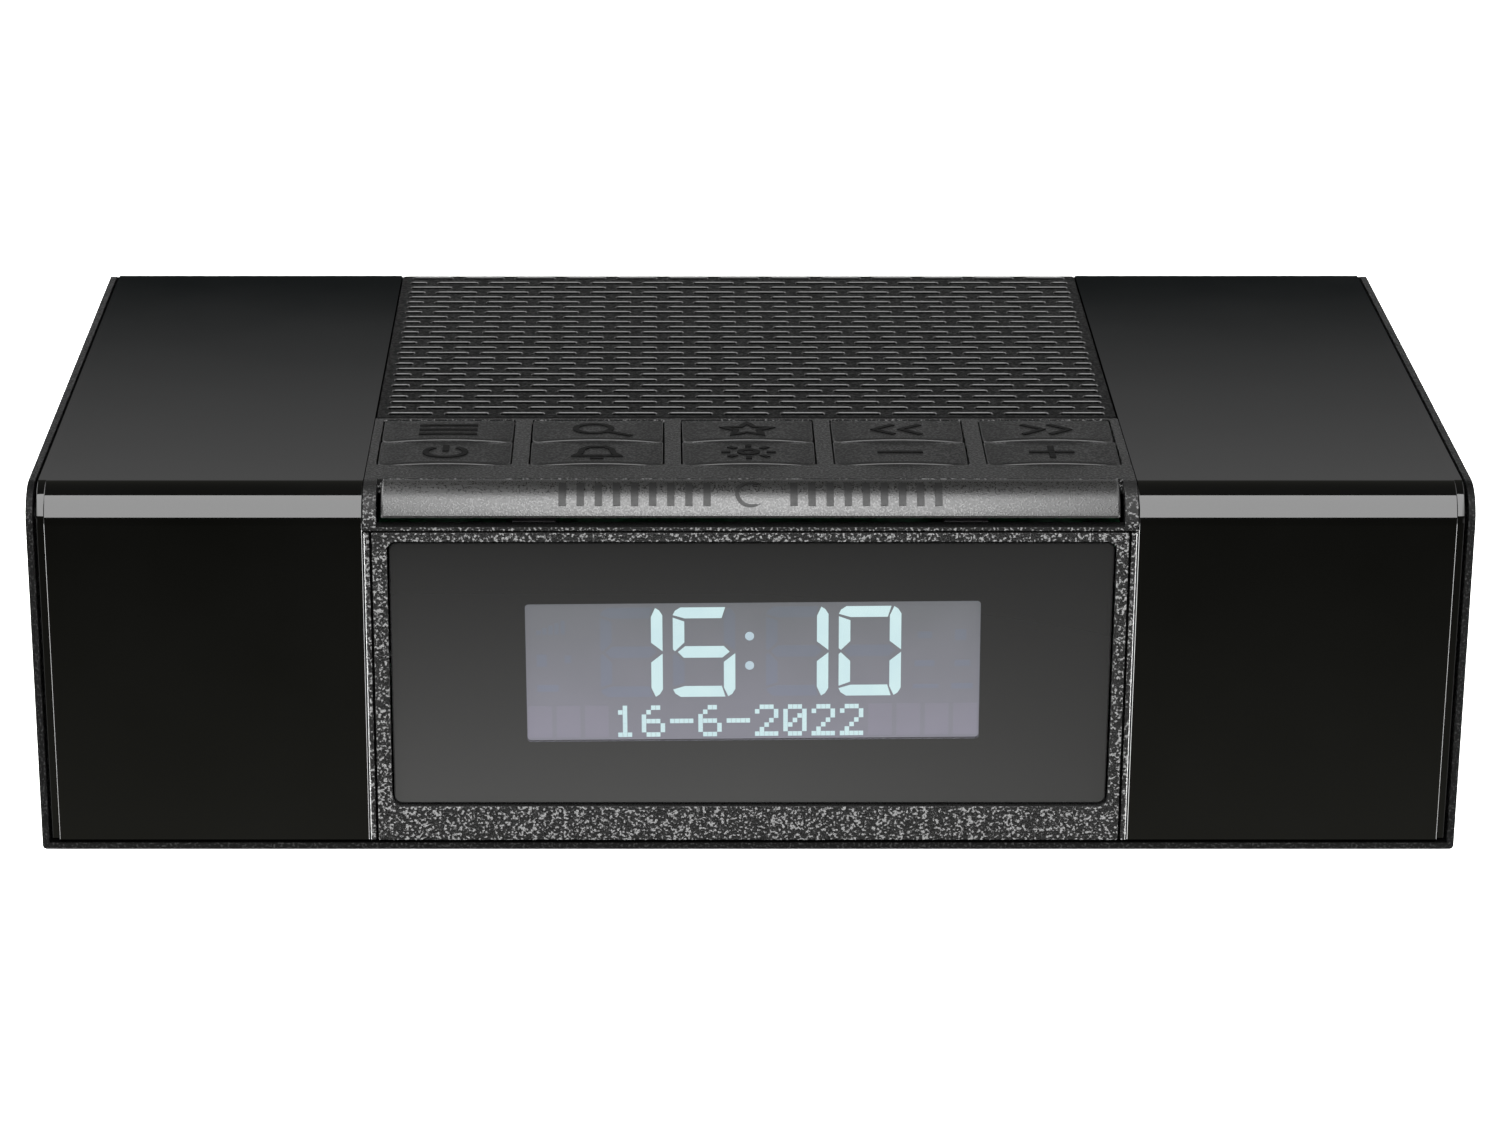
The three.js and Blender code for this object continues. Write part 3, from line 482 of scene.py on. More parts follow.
def gloss_panel(side):
    """Piano-black skin with a lower border along its outer side."""
    node = "right_gloss_panel" if side > 0 else "left_gloss_panel"
    low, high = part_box(node)
    near, far = (low.x, high.x) if side > 0 else (high.x, low.x)
    border = far - side * SKIN_BORDER
    near -= side * SKIN_REACH

    def round_edge(x, sunk):
        return [(x - side * (SKIN_EDGE - across), sunk + SKIN_EDGE - up)
                for across, up in arc((0, 0), SKIN_EDGE, 90, 0, SKIN_EDGE_STEPS)]

    stations = [(near, SKIN_EDGE / 2), (near + side * SKIN_EDGE / 2, 0.0)]
    stations += round_edge(border, 0.0) + [(border, SKIN_STEP)] + round_edge(far, SKIN_STEP)
    bm = loft(bmesh.new(), [skin_ring(x, sunk, high.y, low.z) for x, sunk in stations])
    obj = weighted(new_object(node + "_skin", bm, GLOSS))
    return place(obj, "root", "gloss_black", node)


CHEEK_EDGE = 0.4 * MM
REAR_CORNER = 2.2 * MM
LOW_CORNER = 0.9 * MM


def housing_shell():
    """The grained shell: its corners well rounded behind and below, its cheeks a little."""
    bm = node_bmesh("bottom_housing")
    rounded(bm, CHEEK_EDGE, 4,
            chosen=lambda p: abs(p.x) > SIDE - HAIR and p.z > BASE + HAIR and p.y < REAR - HAIR)
    for side in (-1, 1):
        outward = Vector((side, 0, 0))
        shaved(bm, Vector((side * (SIDE - REAR_CORNER), REAR - REAR_CORNER, 0)), REAR_CORNER, outward,
               Vector((0, 1, 0)), 5)
        shaved(bm, Vector((side * (SIDE - LOW_CORNER), 0, BASE + LOW_CORNER)), LOW_CORNER, outward,
               Vector((0, 0, -1)), 3)
    return place(weighted(new_object("housing_shell", bm, HOUSING_PLASTIC)), "root", "textured_black",
                 "bottom_housing")


BEZEL_CORNER = 0.3 * MM          # radius of the bezel's upright outer edges
GROOVE_X = (0.8 * MM, 1.6 * MM)  # where the groove lies, from the bezel's outer side
GROOVE_SHADE_FACES = 1
PAINTED_HIGHLIGHT_FACES = 2


def display_bezel_frame():
    """The grained frame of the display, with a painted highlight on its outer edges and painted shade in the
    groove inside them.
    """
    _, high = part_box("display_bezel")
    bm = node_bmesh("display_bezel")
    rounded(bm, BEZEL_CORNER, 4, chosen=lambda p: abs(p.x) > high.x - HAIR and p.y < FRONT + 1 * MM)
    rounded(bm, 0.14 * MM)
    obj = weighted(new_object("display_bezel_frame", bm, BEZEL_PLASTIC))
    obj.data.materials.append(SHADE)
    obj.data.materials.append(BEZEL_PAINTED_HIGHLIGHT)
    for face in obj.data.polygons:
        inward = high.x - abs(face.center.x)
        back = face.center.y - FRONT
        # painted shade: faces down in the groove take the near-black shade colour
        if GROOVE_X[0] < inward < GROOVE_X[1] and 0.12 * MM < back < 1 * MM:
            face.material_index = GROOVE_SHADE_FACES
        # painted highlight: the outer rounded edges that face forward take the bright edge colour
        elif inward < BEZEL_CORNER + HAIR / 2 and 0.2 < abs(face.normal.x) < 0.99 and face.normal.y < 0:
            face.material_index = PAINTED_HIGHLIGHT_FACES
    return place(obj, "root", "textured_black", "display_bezel")


def casing():
    housing_shell()
    deck = softened("key_deck_shell", "key_deck", DECK_PLASTIC, 0.2 * MM, 3)
    place(deck, "root", "textured_black", "key_deck")
    display_bezel_frame()
    gloss_panel(-1)
    gloss_panel(1)


# ---- Grille ----

SLOT_PITCH_X = 8.1 * MM
SLOT_PITCH_Y = 2.6 * MM
SLOT_LENGTH = 6.3 * MM
SLOT_WIDTH = 1.1 * MM
SLOT_CORNER = 0.42 * MM
SLOT_CHAMFER = 0.11 * MM
SLOT_DEPTH = 1.5 * MM
SLOT_SHORTEST = 2 * MM
SIDE_MARGIN = 1.5 * MM           # plain edge of the plate at both sides
ROW_MARGIN = 1.4 * MM            # and in front and behind, to the middle of a row
SPEAKER_REACH = 24 * MM          # slots this near to the speaker's axis go through
PLATE_EDGE = 0.25 * MM
PLATE_GAP = 0.2 * MM             # gap to the deck in front
EDGE_FINISH = 1
# faces that take the painted shade
PAINTED_SHADE_FACES = 2


def grille_slots(low, high, centre_y):
    """Staggered rows over the whole plate as (x0, x1, y, goes through)."""
    slots = []
    left = low.x + SIDE_MARGIN
    right = high.x - SIDE_MARGIN
    first = math.ceil((low.y + ROW_MARGIN - centre_y) / SLOT_PITCH_Y)
    last = math.floor((high.y - ROW_MARGIN - centre_y) / SLOT_PITCH_Y)
    for row in range(first, last + 1):
        y = centre_y + row * SLOT_PITCH_Y
        shift = SLOT_PITCH_X / 2 if row % 2 == 0 else 0.0
        reach = int(right / SLOT_PITCH_X) + 2
        for column in range(-reach, reach + 1):
            x = column * SLOT_PITCH_X + shift
            x0 = max(left, x - SLOT_LENGTH / 2)
            x1 = min(right, x + SLOT_LENGTH / 2)
            if x1 - x0 > SLOT_SHORTEST:
                span = math.hypot(abs(x) + SLOT_LENGTH / 2, y - centre_y)
                slots.append((x0, x1, y, span <= SPEAKER_REACH))
    return slots


def slot_outline(x0, x1, y, grow=0.0):
    half = SLOT_WIDTH / 2 + grow
    return rounded_rectangle(x0 - grow, x1 + grow, y - half, y + half, SLOT_CORNER + grow, 3)


def pierced_face(bm, outline, outlines, height):
    """A flat face at one height with holes; returns the vertices of its rim and those round each hole."""
    points = []
    loops = []
    for corners in (outline, *outlines):
        loops.append(range(len(points), len(points) + len(corners)))
        points += [Vector(p) for p in corners]
    edges = [edge for loop in loops for edge in zip(loop, [*loop[1:], loop[0]])]
    made, _, triangles, origins, _, _ = delaunay_2d_cdt(points, edges, [list(loops[0])], 1, 1e-9)
    verts = [bm.verts.new((p.x, p.y, height)) for p in made]
    place_of = {index: new for new, old in enumerate(origins) for index in old}
    hole_of = {place_of[index]: number for number, loop in enumerate(loops[1:]) for index in loop}
    for triangle in triangles:
        owners = {hole_of.get(v) for v in triangle}
        if len(owners) > 1 or None in owners:
            bm.faces.new([verts[v] for v in triangle])
    rim, *rings = ([verts[place_of[index]] for index in loop] for loop in loops)
    return rim, rings


def grille():
    """Moulded plate with staggered slots: open over the speaker, blind elsewhere, with painted shade on the
    slot walls and on the outer wall below the rim.
    """
    low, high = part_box("speaker_grille")
    basket_low, basket_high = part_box("speaker_basket")
    centre_y = (basket_low.y + basket_high.y) / 2
    slots = grille_slots(low, high, centre_y)
    edge = PLATE_EDGE
    near = low.y + PLATE_GAP
    inner = rounded_rectangle(low.x + edge, high.x - edge, near + edge, high.y - edge, 0.3 * MM, 3)
    outer = rounded_rectangle(low.x, high.x, near, high.y, 0.5 * MM, 3)
    bm = bmesh.new()
    wide = [slot_outline(x0, x1, y, SLOT_CHAMFER) for x0, x1, y, _ in slots]
    rim, mouths = pierced_face(bm, inner, wide, TOP)
    through = [slot_outline(x0, x1, y) for x0, x1, y, opens in slots if opens]
    under_rim, under = pierced_face(bm, outer, through, TOP - SKIN)
    shoulder = [bm.verts.new((x, y, TOP - edge)) for x, y in outer]
    bridge(bm, rim, shoulder)
    # painted shade: the plate's outer wall below the shoulder, seen through the gap to the deck
    bridge(bm, shoulder, under_rim, PAINTED_SHADE_FACES)
    under_rings = iter(under)
    for (x0, x1, y, opens), mouth in zip(slots, mouths):
        outline = slot_outline(x0, x1, y)
        throat = [bm.verts.new((a, b, TOP - SLOT_CHAMFER)) for a, b in outline]
        # slot chamfers: their bright line is partly real gloss, partly painted highlight
        bridge(bm, mouth, throat, EDGE_FINISH)
        # painted shade on the walls of every slot, through or blind
        if opens:
            bridge(bm, throat, next(under_rings), PAINTED_SHADE_FACES)
        else:
            floor = [bm.verts.new((a, b, TOP - SLOT_DEPTH)) for a, b in outline]
            bridge(bm, throat, floor, PAINTED_SHADE_FACES)
            bm.faces.new(floor).material_index = PAINTED_SHADE_FACES
    obj = weighted(new_object("grille_plate", bm, GRILLE_PLASTIC))
    obj.data.materials.append(GRILLE_EDGE_PAINTED_HIGHLIGHT)
    obj.data.materials.append(SHADE)
    return place(obj, "root", "textured_black", "speaker_grille")


# ---- Keys and snooze bar ----

KEY_SHOULDER = 0.45 * MM
KEY_RAISE = 0.28 * MM            # how far the front edge of a key stands above its back edge
KEY_GROWTH = 0.1 * MM            # a key fills this much more of its pocket on each side
KEY_SKIRT = 2.6 * MM             # how far a cap's walls reach below the top
KEY_EDGE_WIDTH = 0.15 * MM
FRONT_CORNER = 1.1 * MM
BACK_CORNER = 0.3 * MM
NUB_RADIUS = 1.5 * MM
NUB_GAP = 0.01 * MM


def key_height(node):
    """Height of a key's face: crowned from side to side, rising towards the front edge."""
    low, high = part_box(node)
    centre = (low.x + high.x) / 2
    half = (high.x - low.x) / 2
    crest = high.z

    def height(x, y):
        across = min(1.0, abs(x - centre) / half)
        along = (high.y - y) / (high.y - low.y)
        return crest - KEY_SHOULDER * along * across ** 2 - KEY_RAISE * (1 - along)
    return height


def key_cap(node):
    """Cap with rounded front corners and a crowned, raised face, and a nub beneath."""
    low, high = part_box(node)
    low.x -= KEY_GROWTH
    high.x += KEY_GROWTH
    height = key_height(node)
    columns = 24
    rows = 8
    bm = bmesh.new()
    bottom = TOP - KEY_SKIRT
    edge = KEY_EDGE_WIDTH

    def outline(inset):
        x0, x1, y0, y1 = low.x + inset, high.x - inset, low.y + inset, high.y - inset
        front = FRONT_CORNER
        back = BACK_CORNER
        points = [(x0 + front, y0)] + between((x0 + front, y0), (x1 - front, y0), columns)
        points += arc((x1 - front, y0 + front), front - inset, -90, 0, 5)
        points += between((x1, y0 + front), (x1, y1 - back), rows)
        points += arc((x1 - back, y1 - back), back, 0, 90, 2)
        points += between((x1 - back, y1), (x0 + back, y1), columns)
        points += arc((x0 + back, y1 - back), back, 90, 180, 2)
        points += between((x0, y1 - back), (x0, y0 + front), rows)
        points += arc((x0 + front, y0 + front), front - inset, 180, 270, 5)[:-1]
        return points

    base = [(x, y, bottom) for x, y in outline(0.0)]
    wall = [(x, y, height(x, y) - edge) for x, y in outline(0.0)]
    shoulder = [(x, y, height(x, y) - 0.3 * edge) for x, y in outline(0.3 * edge)]
    face = [(x, y, height(x, y)) for x, y in outline(edge)]
    loops = [[bm.verts.new(p) for p in level] for level in (base, wall, shoulder, face)]
    for near, far, finish in zip(loops, loops[1:], (0, EDGE_FINISH, EDGE_FINISH)):
        bridge(bm, near, far, finish)
    bm.faces.new(loops[0])
    centre_x = (low.x + high.x) / 2
    centre_y = (low.y + high.y) / 2
    inner = loops[-1]
    for share in (0.8, 0.6, 0.4, 0.2):
        points = [(centre_x + (x - centre_x) * share, centre_y + (y - centre_y) * share) for x, y, _ in face]
        smaller = [bm.verts.new((x, y, height(x, y))) for x, y in points]
        bridge(bm, inner, smaller)
        inner = smaller
    middle = bm.verts.new((centre_x, centre_y, height(centre_x, centre_y)))
    for i, vert in enumerate(inner):
        bm.faces.new((vert, inner[(i + 1) % len(inner)], middle))
    nub = arc((centre_x, centre_y), NUB_RADIUS, 0, 345, 23)
    prism(bm, nub, low.z, bottom - low.z - NUB_GAP, "xy")
    obj = new_object(node + "_cap", bm, KEY_PLASTIC, 50.0)
    obj.data.materials.append(KEY_EDGE)
    return place(obj, node, "key_black", node)


# Signs are drawn in millimetres
STROKE = 0.55                    # width of a line
STROKE_STEP = 0.6
SIGN_STRETCH = (1.6, 1.35)       # a sign's width and depth beside its drawn size
SIGN_RISE = 0.1 * MM
SUNK = 0.05 * MM                 # how far a raised mark reaches into what carries it


def stroke(corners, closed=False):
    """The two edges of a line of even width, in short steps."""
    ends = corners[1:] + corners[:1] if closed else corners[1:]
    points = [corners[0]]
    for start, end in zip(corners, ends):
        steps = max(1, round(math.dist(start, end) / STROKE_STEP))
        points += between(start, end, steps) + [end]
    if closed:
        points.pop()
    count = len(points)
    left = []
    right = []
    for i, (x, y) in enumerate(points):
        before = points[i - 1] if closed or i > 0 else (x, y)
        after = points[(i + 1) % count] if closed or i < count - 1 else (x, y)
        dx, dy = after[0] - before[0], after[1] - before[1]
        half = STROKE / 2 / math.hypot(dx, dy)
        left.append((x - dy * half, y + dx * half))
        right.append((x + dy * half, y - dx * half))
    return left, right, closed


def hoop(centre, radius, start=0.0, sweep=360.0):
    """The two edges of a round line, or of part of one."""
    steps = 28
    closed = sweep == 360.0
    outer = arc(centre, radius + STROKE / 2, start, start + sweep, steps)
    inner = arc(centre, radius - STROKE / 2, start, start + sweep, steps)
    return (outer[:-1], inner[:-1], True) if closed else (outer, inner, False)


def sign(node):
    """Generic sign for what a key does, about its centre, in millimetres."""
    if node == "key_menu":
        return [stroke([(-2.6, y), (2.6, y)]) for y in (1.5, 0.0, -1.5)]
    if node == "key_power":
        return [stroke([(0.0, 0.2), (0.0, 2.2)]), hoop((0.0, 0.0), 1.75, 125.0, 290.0)]
    if node == "key_scan":
        return [stroke([(0.9, -0.8), (3.0, -2.1)]), hoop((-0.4, 0.3), 1.6)]
    if node == "key_alarm":
        side = [(2.1, -1.3), (1.5, -0.6), (1.3, 0.9), (0.7, 1.7)]
        bell = side + [(-x, y) for x, y in reversed(side)]
        return [stroke(bell, True), stroke([(-0.6, -2.1), (0.6, -2.1)])]
    if node == "key_preset":
        tips = [(radius * math.sin(math.tau * k / 10), radius * math.cos(math.tau * k / 10))
                for k, radius in enumerate((2.4, 1.05) * 5)]
        return [stroke(tips, True)]
    if node == "key_dimmer":
        angles = [math.tau * k / 8 for k in range(8)]
        rays = [stroke([(math.cos(a) * 1.6, math.sin(a) * 1.6), (math.cos(a) * 2.4, math.sin(a) * 2.4)])
                for a in angles]
        return rays + [hoop((0.0, 0.0), 0.75)]
    if node in ("key_tune_down", "key_tune_up"):
        way = -1 if node == "key_tune_down" else 1
        return [stroke([(way * (x - 0.9), 1.7), (way * (x + 0.9), 0.0), (way * (x - 0.9), -1.7)])
                for x in (-1.2, 1.2)]
    bars = [stroke([(-2.0, 0.0), (2.0, 0.0)])]
    if node == "key_volume_up":
        bars += [stroke([(0.0, way * 0.35), (0.0, way * 1.9)]) for way in (-1, 1)]
    return bars


def key_symbol(node):
    """The raised sign on a key, following the crown of its face."""
    low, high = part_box(node)
    height = key_height(node)
    centre_x = (low.x + high.x) / 2
    centre_y = (low.y + high.y) / 2 + 0.2 * MM
    wide, deep = SIGN_STRETCH

    def level(rise):
        def at(point):
            x = centre_x + point[0] * wide * MM
            y = centre_y + point[1] * deep * MM
            return (x, y, height(x, y) + rise)
        return at

    bm = bmesh.new()
    for first, second, closed in sign(node):
        raised_strip(bm, first, second, level(-SUNK), level(SIGN_RISE), closed)
    obj = new_object(node + "_symbol", bm, SIGNS)
    return place(obj, node, "key_black")


BAR_REAR = FRONT + 5.1 * MM      # back edge of the bar's face
BAR_DROP = 3.95 * MM             # how far the face reaches down from the top
BAR_TUCK = 0.35 * MM             # height of the turned-in lower edge
TUCK_TURN = 4                    # and how many degrees of the nose it takes up
LIP_LOW = TOP - 3.4 * MM
LIP_THICKNESS = 0.9 * MM
BAR_ENDS = ((0.0, 0.5), (0.06, 0.28), (0.2, 0.1), (0.45, 0.0))    # rounding: way in and inset, in millimetres


def snooze_section(lip_rear, inset):
    """Closed section of the bar in (y, z): quarter-round face, thin wall and the lip behind."""
    end = 180 - TUCK_TURN - math.degrees(math.asin((NOSE_RADIUS - BAR_DROP) / NOSE_RADIUS))
    points = [(BAR_REAR, TOP - inset)]
    points += arc((NOSE_Y, NOSE_Z), NOSE_RADIUS - inset, 90, end, ARC_STEPS)
    y, z = points[-1]
    points += [(y + 0.12 * MM, z - BAR_TUCK), (y + 0.5 * MM, z - 1.3 * BAR_TUCK)]
    points += arc((NOSE_Y, NOSE_Z), NOSE_RADIUS - SKIN, end, 90, ARC_STEPS)
    lip_top = LIP_LOW + LIP_THICKNESS
    points += [(NOSE_Y + 0.05 * MM, LIP_LOW), (lip_rear, LIP_LOW), (lip_rear, lip_top), (BAR_REAR, lip_top)]
    return points


def snooze_bar():
    """Long rounded bar that wraps the front edge, with softened ends."""
    low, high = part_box("snooze_bar")
    stations = [(low.x + along * MM, inset * MM) for along, inset in BAR_ENDS]
    stations += [(high.x - along * MM, inset * MM) for along, inset in reversed(BAR_ENDS)]
    rings = [[Vector((x, y, z)) for y, z in snooze_section(high.y, inset)] for x, inset in stations]
    obj = new_object("snooze_bar_cap", loft(bmesh.new(), rings), SNOOZE_PLASTIC)
    return place(obj, "snooze_bar", "key_black", "snooze_bar")


# Marks on the bar are drawn in millimetres, with y running back over the nose
MARK_MIDDLE = 36.0               # their place round the nose in degrees: 0 at its top, 90 at its front
MARK_RISE = 0.16 * MM
MOON_RADIUS = 2.1
MOON_SHIFT = 0.85                # how far the moon's inner curve lies to the right
MOON_SHARE = 0.82                # size of the inner curve beside the outer one
RIB_START = 6.0
RIB_PITCH = 2.5
RIB_HALF_X = 0.5
RIB_HALF_Y = 1.9
RIBS = 9
RIB_STEPS = 8


def snooze_marks():
    """Crescent moon between two rows of feel ribs, raised on the bar."""
    bm = bmesh.new()
    degree = math.degrees(MM / NOSE_RADIUS)

    def level(proud):
        def at(point):
            angle = math.radians(90 + MARK_MIDDLE - degree * point[1])
            radius = NOSE_RADIUS + proud
            return (point[0] * MM, NOSE_Y + radius * math.cos(angle), NOSE_Z + radius * math.sin(angle))
        return at

    under = level(-SUNK)
    over = level(MARK_RISE)
    outer = arc((0, 0), MOON_RADIUS, 50, 310, 26)
    inner = [(MOON_SHIFT + (x - MOON_SHIFT) * MOON_SHARE, y * MOON_SHARE) if x < MOON_SHIFT else (x, y * 0.97)
             for x, y in outer]
    raised_strip(bm, outer, inner, under, over)
    rows = [RIB_HALF_Y * (2 * step / RIB_STEPS - 1) for step in range(RIB_STEPS + 1)]
    for side in (-1, 1):
        for number in range(RIBS):
            x = side * (RIB_START + RIB_PITCH * number)
            left, right = ([(x + way * RIB_HALF_X, row) for row in rows] for way in (-1, 1))
            raised_strip(bm, left, right, under, over)
    obj = new_object("snooze_relief", bm, MARKS)
    return place(obj, "snooze_bar", "key_black")


# ---- Display ----

DISPLAY_TILT = 0.5               # degrees: the module sits a little askew behind the lens
WINDOW_HALF_X = 31.7 * MM
WINDOW_HALF_Z = 10.35 * MM
PANE_THICKNESS = 0.3 * MM
LENS_CORNER = 1.1 * MM
LENS_EDGE = 0.18 * MM


def askew(points, centre):
    """Points (x, z) turned by the tilt of the display module about its centre."""
    cosine = math.cos(math.radians(DISPLAY_TILT))
    sine = math.sin(math.radians(DISPLAY_TILT))
    return [(centre[0] + (x - centre[0]) * cosine - (z - centre[1]) * sine,
             centre[1] + (x - centre[0]) * sine + (z - centre[1]) * cosine) for x, z in points]


def lens():
    """Smoked slab with a clear patch, both flush at the front."""
    low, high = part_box("display_lens")
    glass_low, glass_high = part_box("lcd_glass")
    centre_x = (glass_low.x + glass_high.x) / 2
    centre_z = (glass_low.z + glass_high.z) / 2
    outer = rounded_rectangle(low.x, high.x, low.z, high.z, LENS_CORNER, 6)
    window = rounded_rectangle(centre_x - WINDOW_HALF_X, centre_x + WINDOW_HALF_X,
                               centre_z - WINDOW_HALF_Z, centre_z + WINDOW_HALF_Z, 0.5 * MM, 6)
    inner = askew(window, (centre_x, centre_z))
    edge = LENS_EDGE
    face = rounded_rectangle(low.x + edge, high.x - edge, low.z + edge, high.z - edge, 0.95 * MM, 6)
    bm = bmesh.new()
    rings = ((inner, high.y), (outer, high.y), (outer, low.y + edge), (face, low.y), (inner, low.y))
    loops = [[bm.verts.new((x, y, z)) for x, z in outline] for outline, y in rings]
    for near, far in zip(loops, loops[1:] + loops[:1]):
        bridge(bm, near, far)
    slab = new_object("lens_slab", bm, LENS)
    place(slab, "root", "smoked_lens", "display_lens")
    pane = bmesh.new()
    prism(pane, inner, low.y, PANE_THICKNESS)
    clear = new_object("lens_window", pane, PANE)
    place(clear, "root", "smoked_lens")
    return centre_x, centre_z, low.y + PANE_THICKNESS


# Everything on the display is drawn in millimetres from its centre
DIGIT_WIDTH = 8.7
DIGIT_HEIGHT = 13.4


def segment_outlines():
    """The seven segments of a figure in millimetres from its lower left corner."""
    w = DIGIT_WIDTH

    def flipped(outline):
        return [(x, DIGIT_HEIGHT - z) for x, z in outline]

    top = [(0.0, 12.3), (0.3, 12.9), (1.05, 13.4), (7.3, 13.4), (6.8, 11.8), (1.65, 11.8)]
    right_up = [(w - 1.0, 13.35), (w - 0.45, 13.0), (w, 12.25), (w, 6.9), (w - 1.6, 8.2), (w - 1.6, 12.0)]
    left_up = [(0.0, 11.9), (1.6, 11.3), (1.6, 8.2), (0.3, 6.9), (0.0, 7.15)]
    middle = [(0.7, 6.75), (1.7, 7.6), (7.1, 7.6), (7.9, 6.75), (6.9, 5.9), (1.5, 5.9)]
    return {"a": top, "b": right_up, "c": flipped(right_up), "d": flipped(top), "e": flipped(left_up),
            "f": left_up, "g": middle}


FIGURES = {"0": "abcdef", "1": "bc", "5": "acdfg"}
DIGIT_LEFTS = (-21.3, -11.15, 1.85, 12.0)
DIGIT_FOOT = -3.9
CLOCK = "1510"
COLON_X = -0.45
COLON_HEIGHTS = (5.15, 0.75)
COLON_RADIUS = 0.63

DOTS = {
    "0": ("01110", "10001", "10011", "10101", "11001", "10001", "01110"),
    "1": ("00100", "01100", "00100", "00100", "00100", "00100", "01110"),
    "2": ("01110", "10001", "00001", "00010", "00100", "01000", "11111"),
    "6": ("00110", "01000", "10000", "11110", "10001", "10001", "01110"),
    "-": ("00000", "00000", "00000", "11111", "00000", "00000", "00000"),
}
DATE = "16-6-2022"
DOT_PITCH_X = 0.663
DOT_PITCH_Z = 0.68
DOT_SHARE = 0.94
DATE_LEFT = -19.6
DATE_TOP = -5.2
CELL_COLUMNS = 6                 # a figure's five columns of dots and the gap after it
EMPTY_CELLS = (-3, -2, -1, 9, 10, 11, 12)

UNLIT_BARS = [(-30.2 + 0.85 * number, -29.6 + 0.85 * number, 5.6, 6.2 + 0.36 * number) for number in range(5)]
UNLIT_SHAPES = ((-30.2, -28.8, 0.8, 2.6), (-26.3, -25.4, 1.3, 2.4), (-30.2, -27.2, -3.0, -2.0),
                (23.0, 25.0, 4.6, 5.6), (28.2, 29.8, 4.3, 5.9), (22.6, 25.4, 0.4, 1.3),
                (28.2, 30.4, 0.4, 1.3), (22.4, 26.0, -2.9, -2.3), (27.8, 30.8, -3.0, -2.2))

GROUND_HALF_Z = 11.5 * MM
GROUND_BACK = 0.35 * MM          # gap between the pane and the ground
LIT_LIFT = 0.16 * MM             # lit and unlit shapes stand this far before the ground
UNLIT_LIFT = 0.06 * MM


def display(centre_x, centre_z, face_y):
    """Backlit ground, faint unlit shapes and lit figures behind the clear patch."""
    glass_low, glass_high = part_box("lcd_glass")
    ground = bmesh.new()
    plate = rounded_rectangle(glass_low.x, glass_high.x, centre_z - GROUND_HALF_Z, centre_z + GROUND_HALF_Z,
                              0.4 * MM, 3)
    front = face_y + GROUND_BACK
    prism(ground, plate, front, glass_high.y - front)
    obj = new_object("display_glass", ground, GROUND)
    place(obj, "root", "lcd", "lcd_glass")

    def shift(outline, left=0.0, foot=0.0):
        return [(centre_x + (left + x) * MM, centre_z + (foot + z) * MM) for x, z in outline]

    def box(x0, x1, z0, z1):
        return shift(((x0, z0), (x1, z0), (x1, z1), (x0, z1)))

    lit = bmesh.new()
    ghost = bmesh.new()
    colon = bmesh.new()
    cells = bmesh.new()

    def light(outline, bm=lit):
        prism(bm, askew(outline, (centre_x, centre_z)), front - LIT_LIFT, LIT_LIFT / 2)

    def shade(outline, bm=ghost):
        prism(bm, askew(outline, (centre_x, centre_z)), front - UNLIT_LIFT, UNLIT_LIFT * 2 / 3)

    for left, figure in zip(DIGIT_LEFTS, CLOCK):
        for name, outline in segment_outlines().items():
            (light if name in FIGURES[figure] else shade)(shift(outline, left, DIGIT_FOOT))
    for z in COLON_HEIGHTS:
        light(shift(arc((0, 0), COLON_RADIUS, 0, 345, 23), COLON_X, z), colon)
    for place_in_row, letter in enumerate(DATE):
        for row, line in enumerate(DOTS[letter]):
            for column, dot in enumerate(line):
                if dot == "1":
                    x0 = DATE_LEFT + (place_in_row * CELL_COLUMNS + column) * DOT_PITCH_X
                    z1 = DATE_TOP - row * DOT_PITCH_Z
                    light(box(x0, x0 + DOT_PITCH_X * DOT_SHARE, z1 - DOT_PITCH_Z * DOT_SHARE, z1))
    cell = CELL_COLUMNS * DOT_PITCH_X
    for place_in_row in EMPTY_CELLS:
        x0 = DATE_LEFT + place_in_row * cell
        shade(box(x0, x0 + cell - DOT_PITCH_X, DATE_TOP - 7 * DOT_PITCH_Z, DATE_TOP), cells)
    for corners in (*UNLIT_BARS, *UNLIT_SHAPES):
        shade(box(*corners))
    for name, bm, material in (("display_figures", lit, LIT), ("display_colon", colon, COLON),
                               ("display_ghosts", ghost, GHOST), ("display_cells", cells, CELLS)):
        place(new_object(name, bm, material), "root", "lcd")


# ---- Feet, sockets and small parts that show underneath and behind ----

def small_parts():
    for corner in ("front_left", "front_right", "rear_left", "rear_right"):
        foot = "foot_" + corner
        place(softened(foot + "_pad", foot, RUBBER, 0.12 * MM, 2, 30.0), "root", "soft_rubber", foot)
        head = "case_screw_" + corner
        place(softened(head + "_head", head, STEEL, 0.06 * MM, 1, 60.0), "root", "dark_steel", head)
    for node in ("dc_jack", "headphone_jack"):
        place(softened(node + "_body", node, INNER, 0.1 * MM, 2, 60.0), "root", "inner_black", node)
    place(softened("aerial_sleeve", "aerial_grommet", RUBBER, 0.15 * MM, 2, 60.0), "root", "soft_rubber",
          "aerial_grommet")


# ---- Stage, light and camera ----

CAMERA_X = -12.3 * MM
CAMERA_AHEAD = 569.7 * MM
CAMERA_ABOVE = 256.6 * MM
CAMERA_PITCH = 20.5
CAMERA_LENS = 105.5
CAMERA_SHIFT = 0.0591            # the radio stands a little left of the view's axis

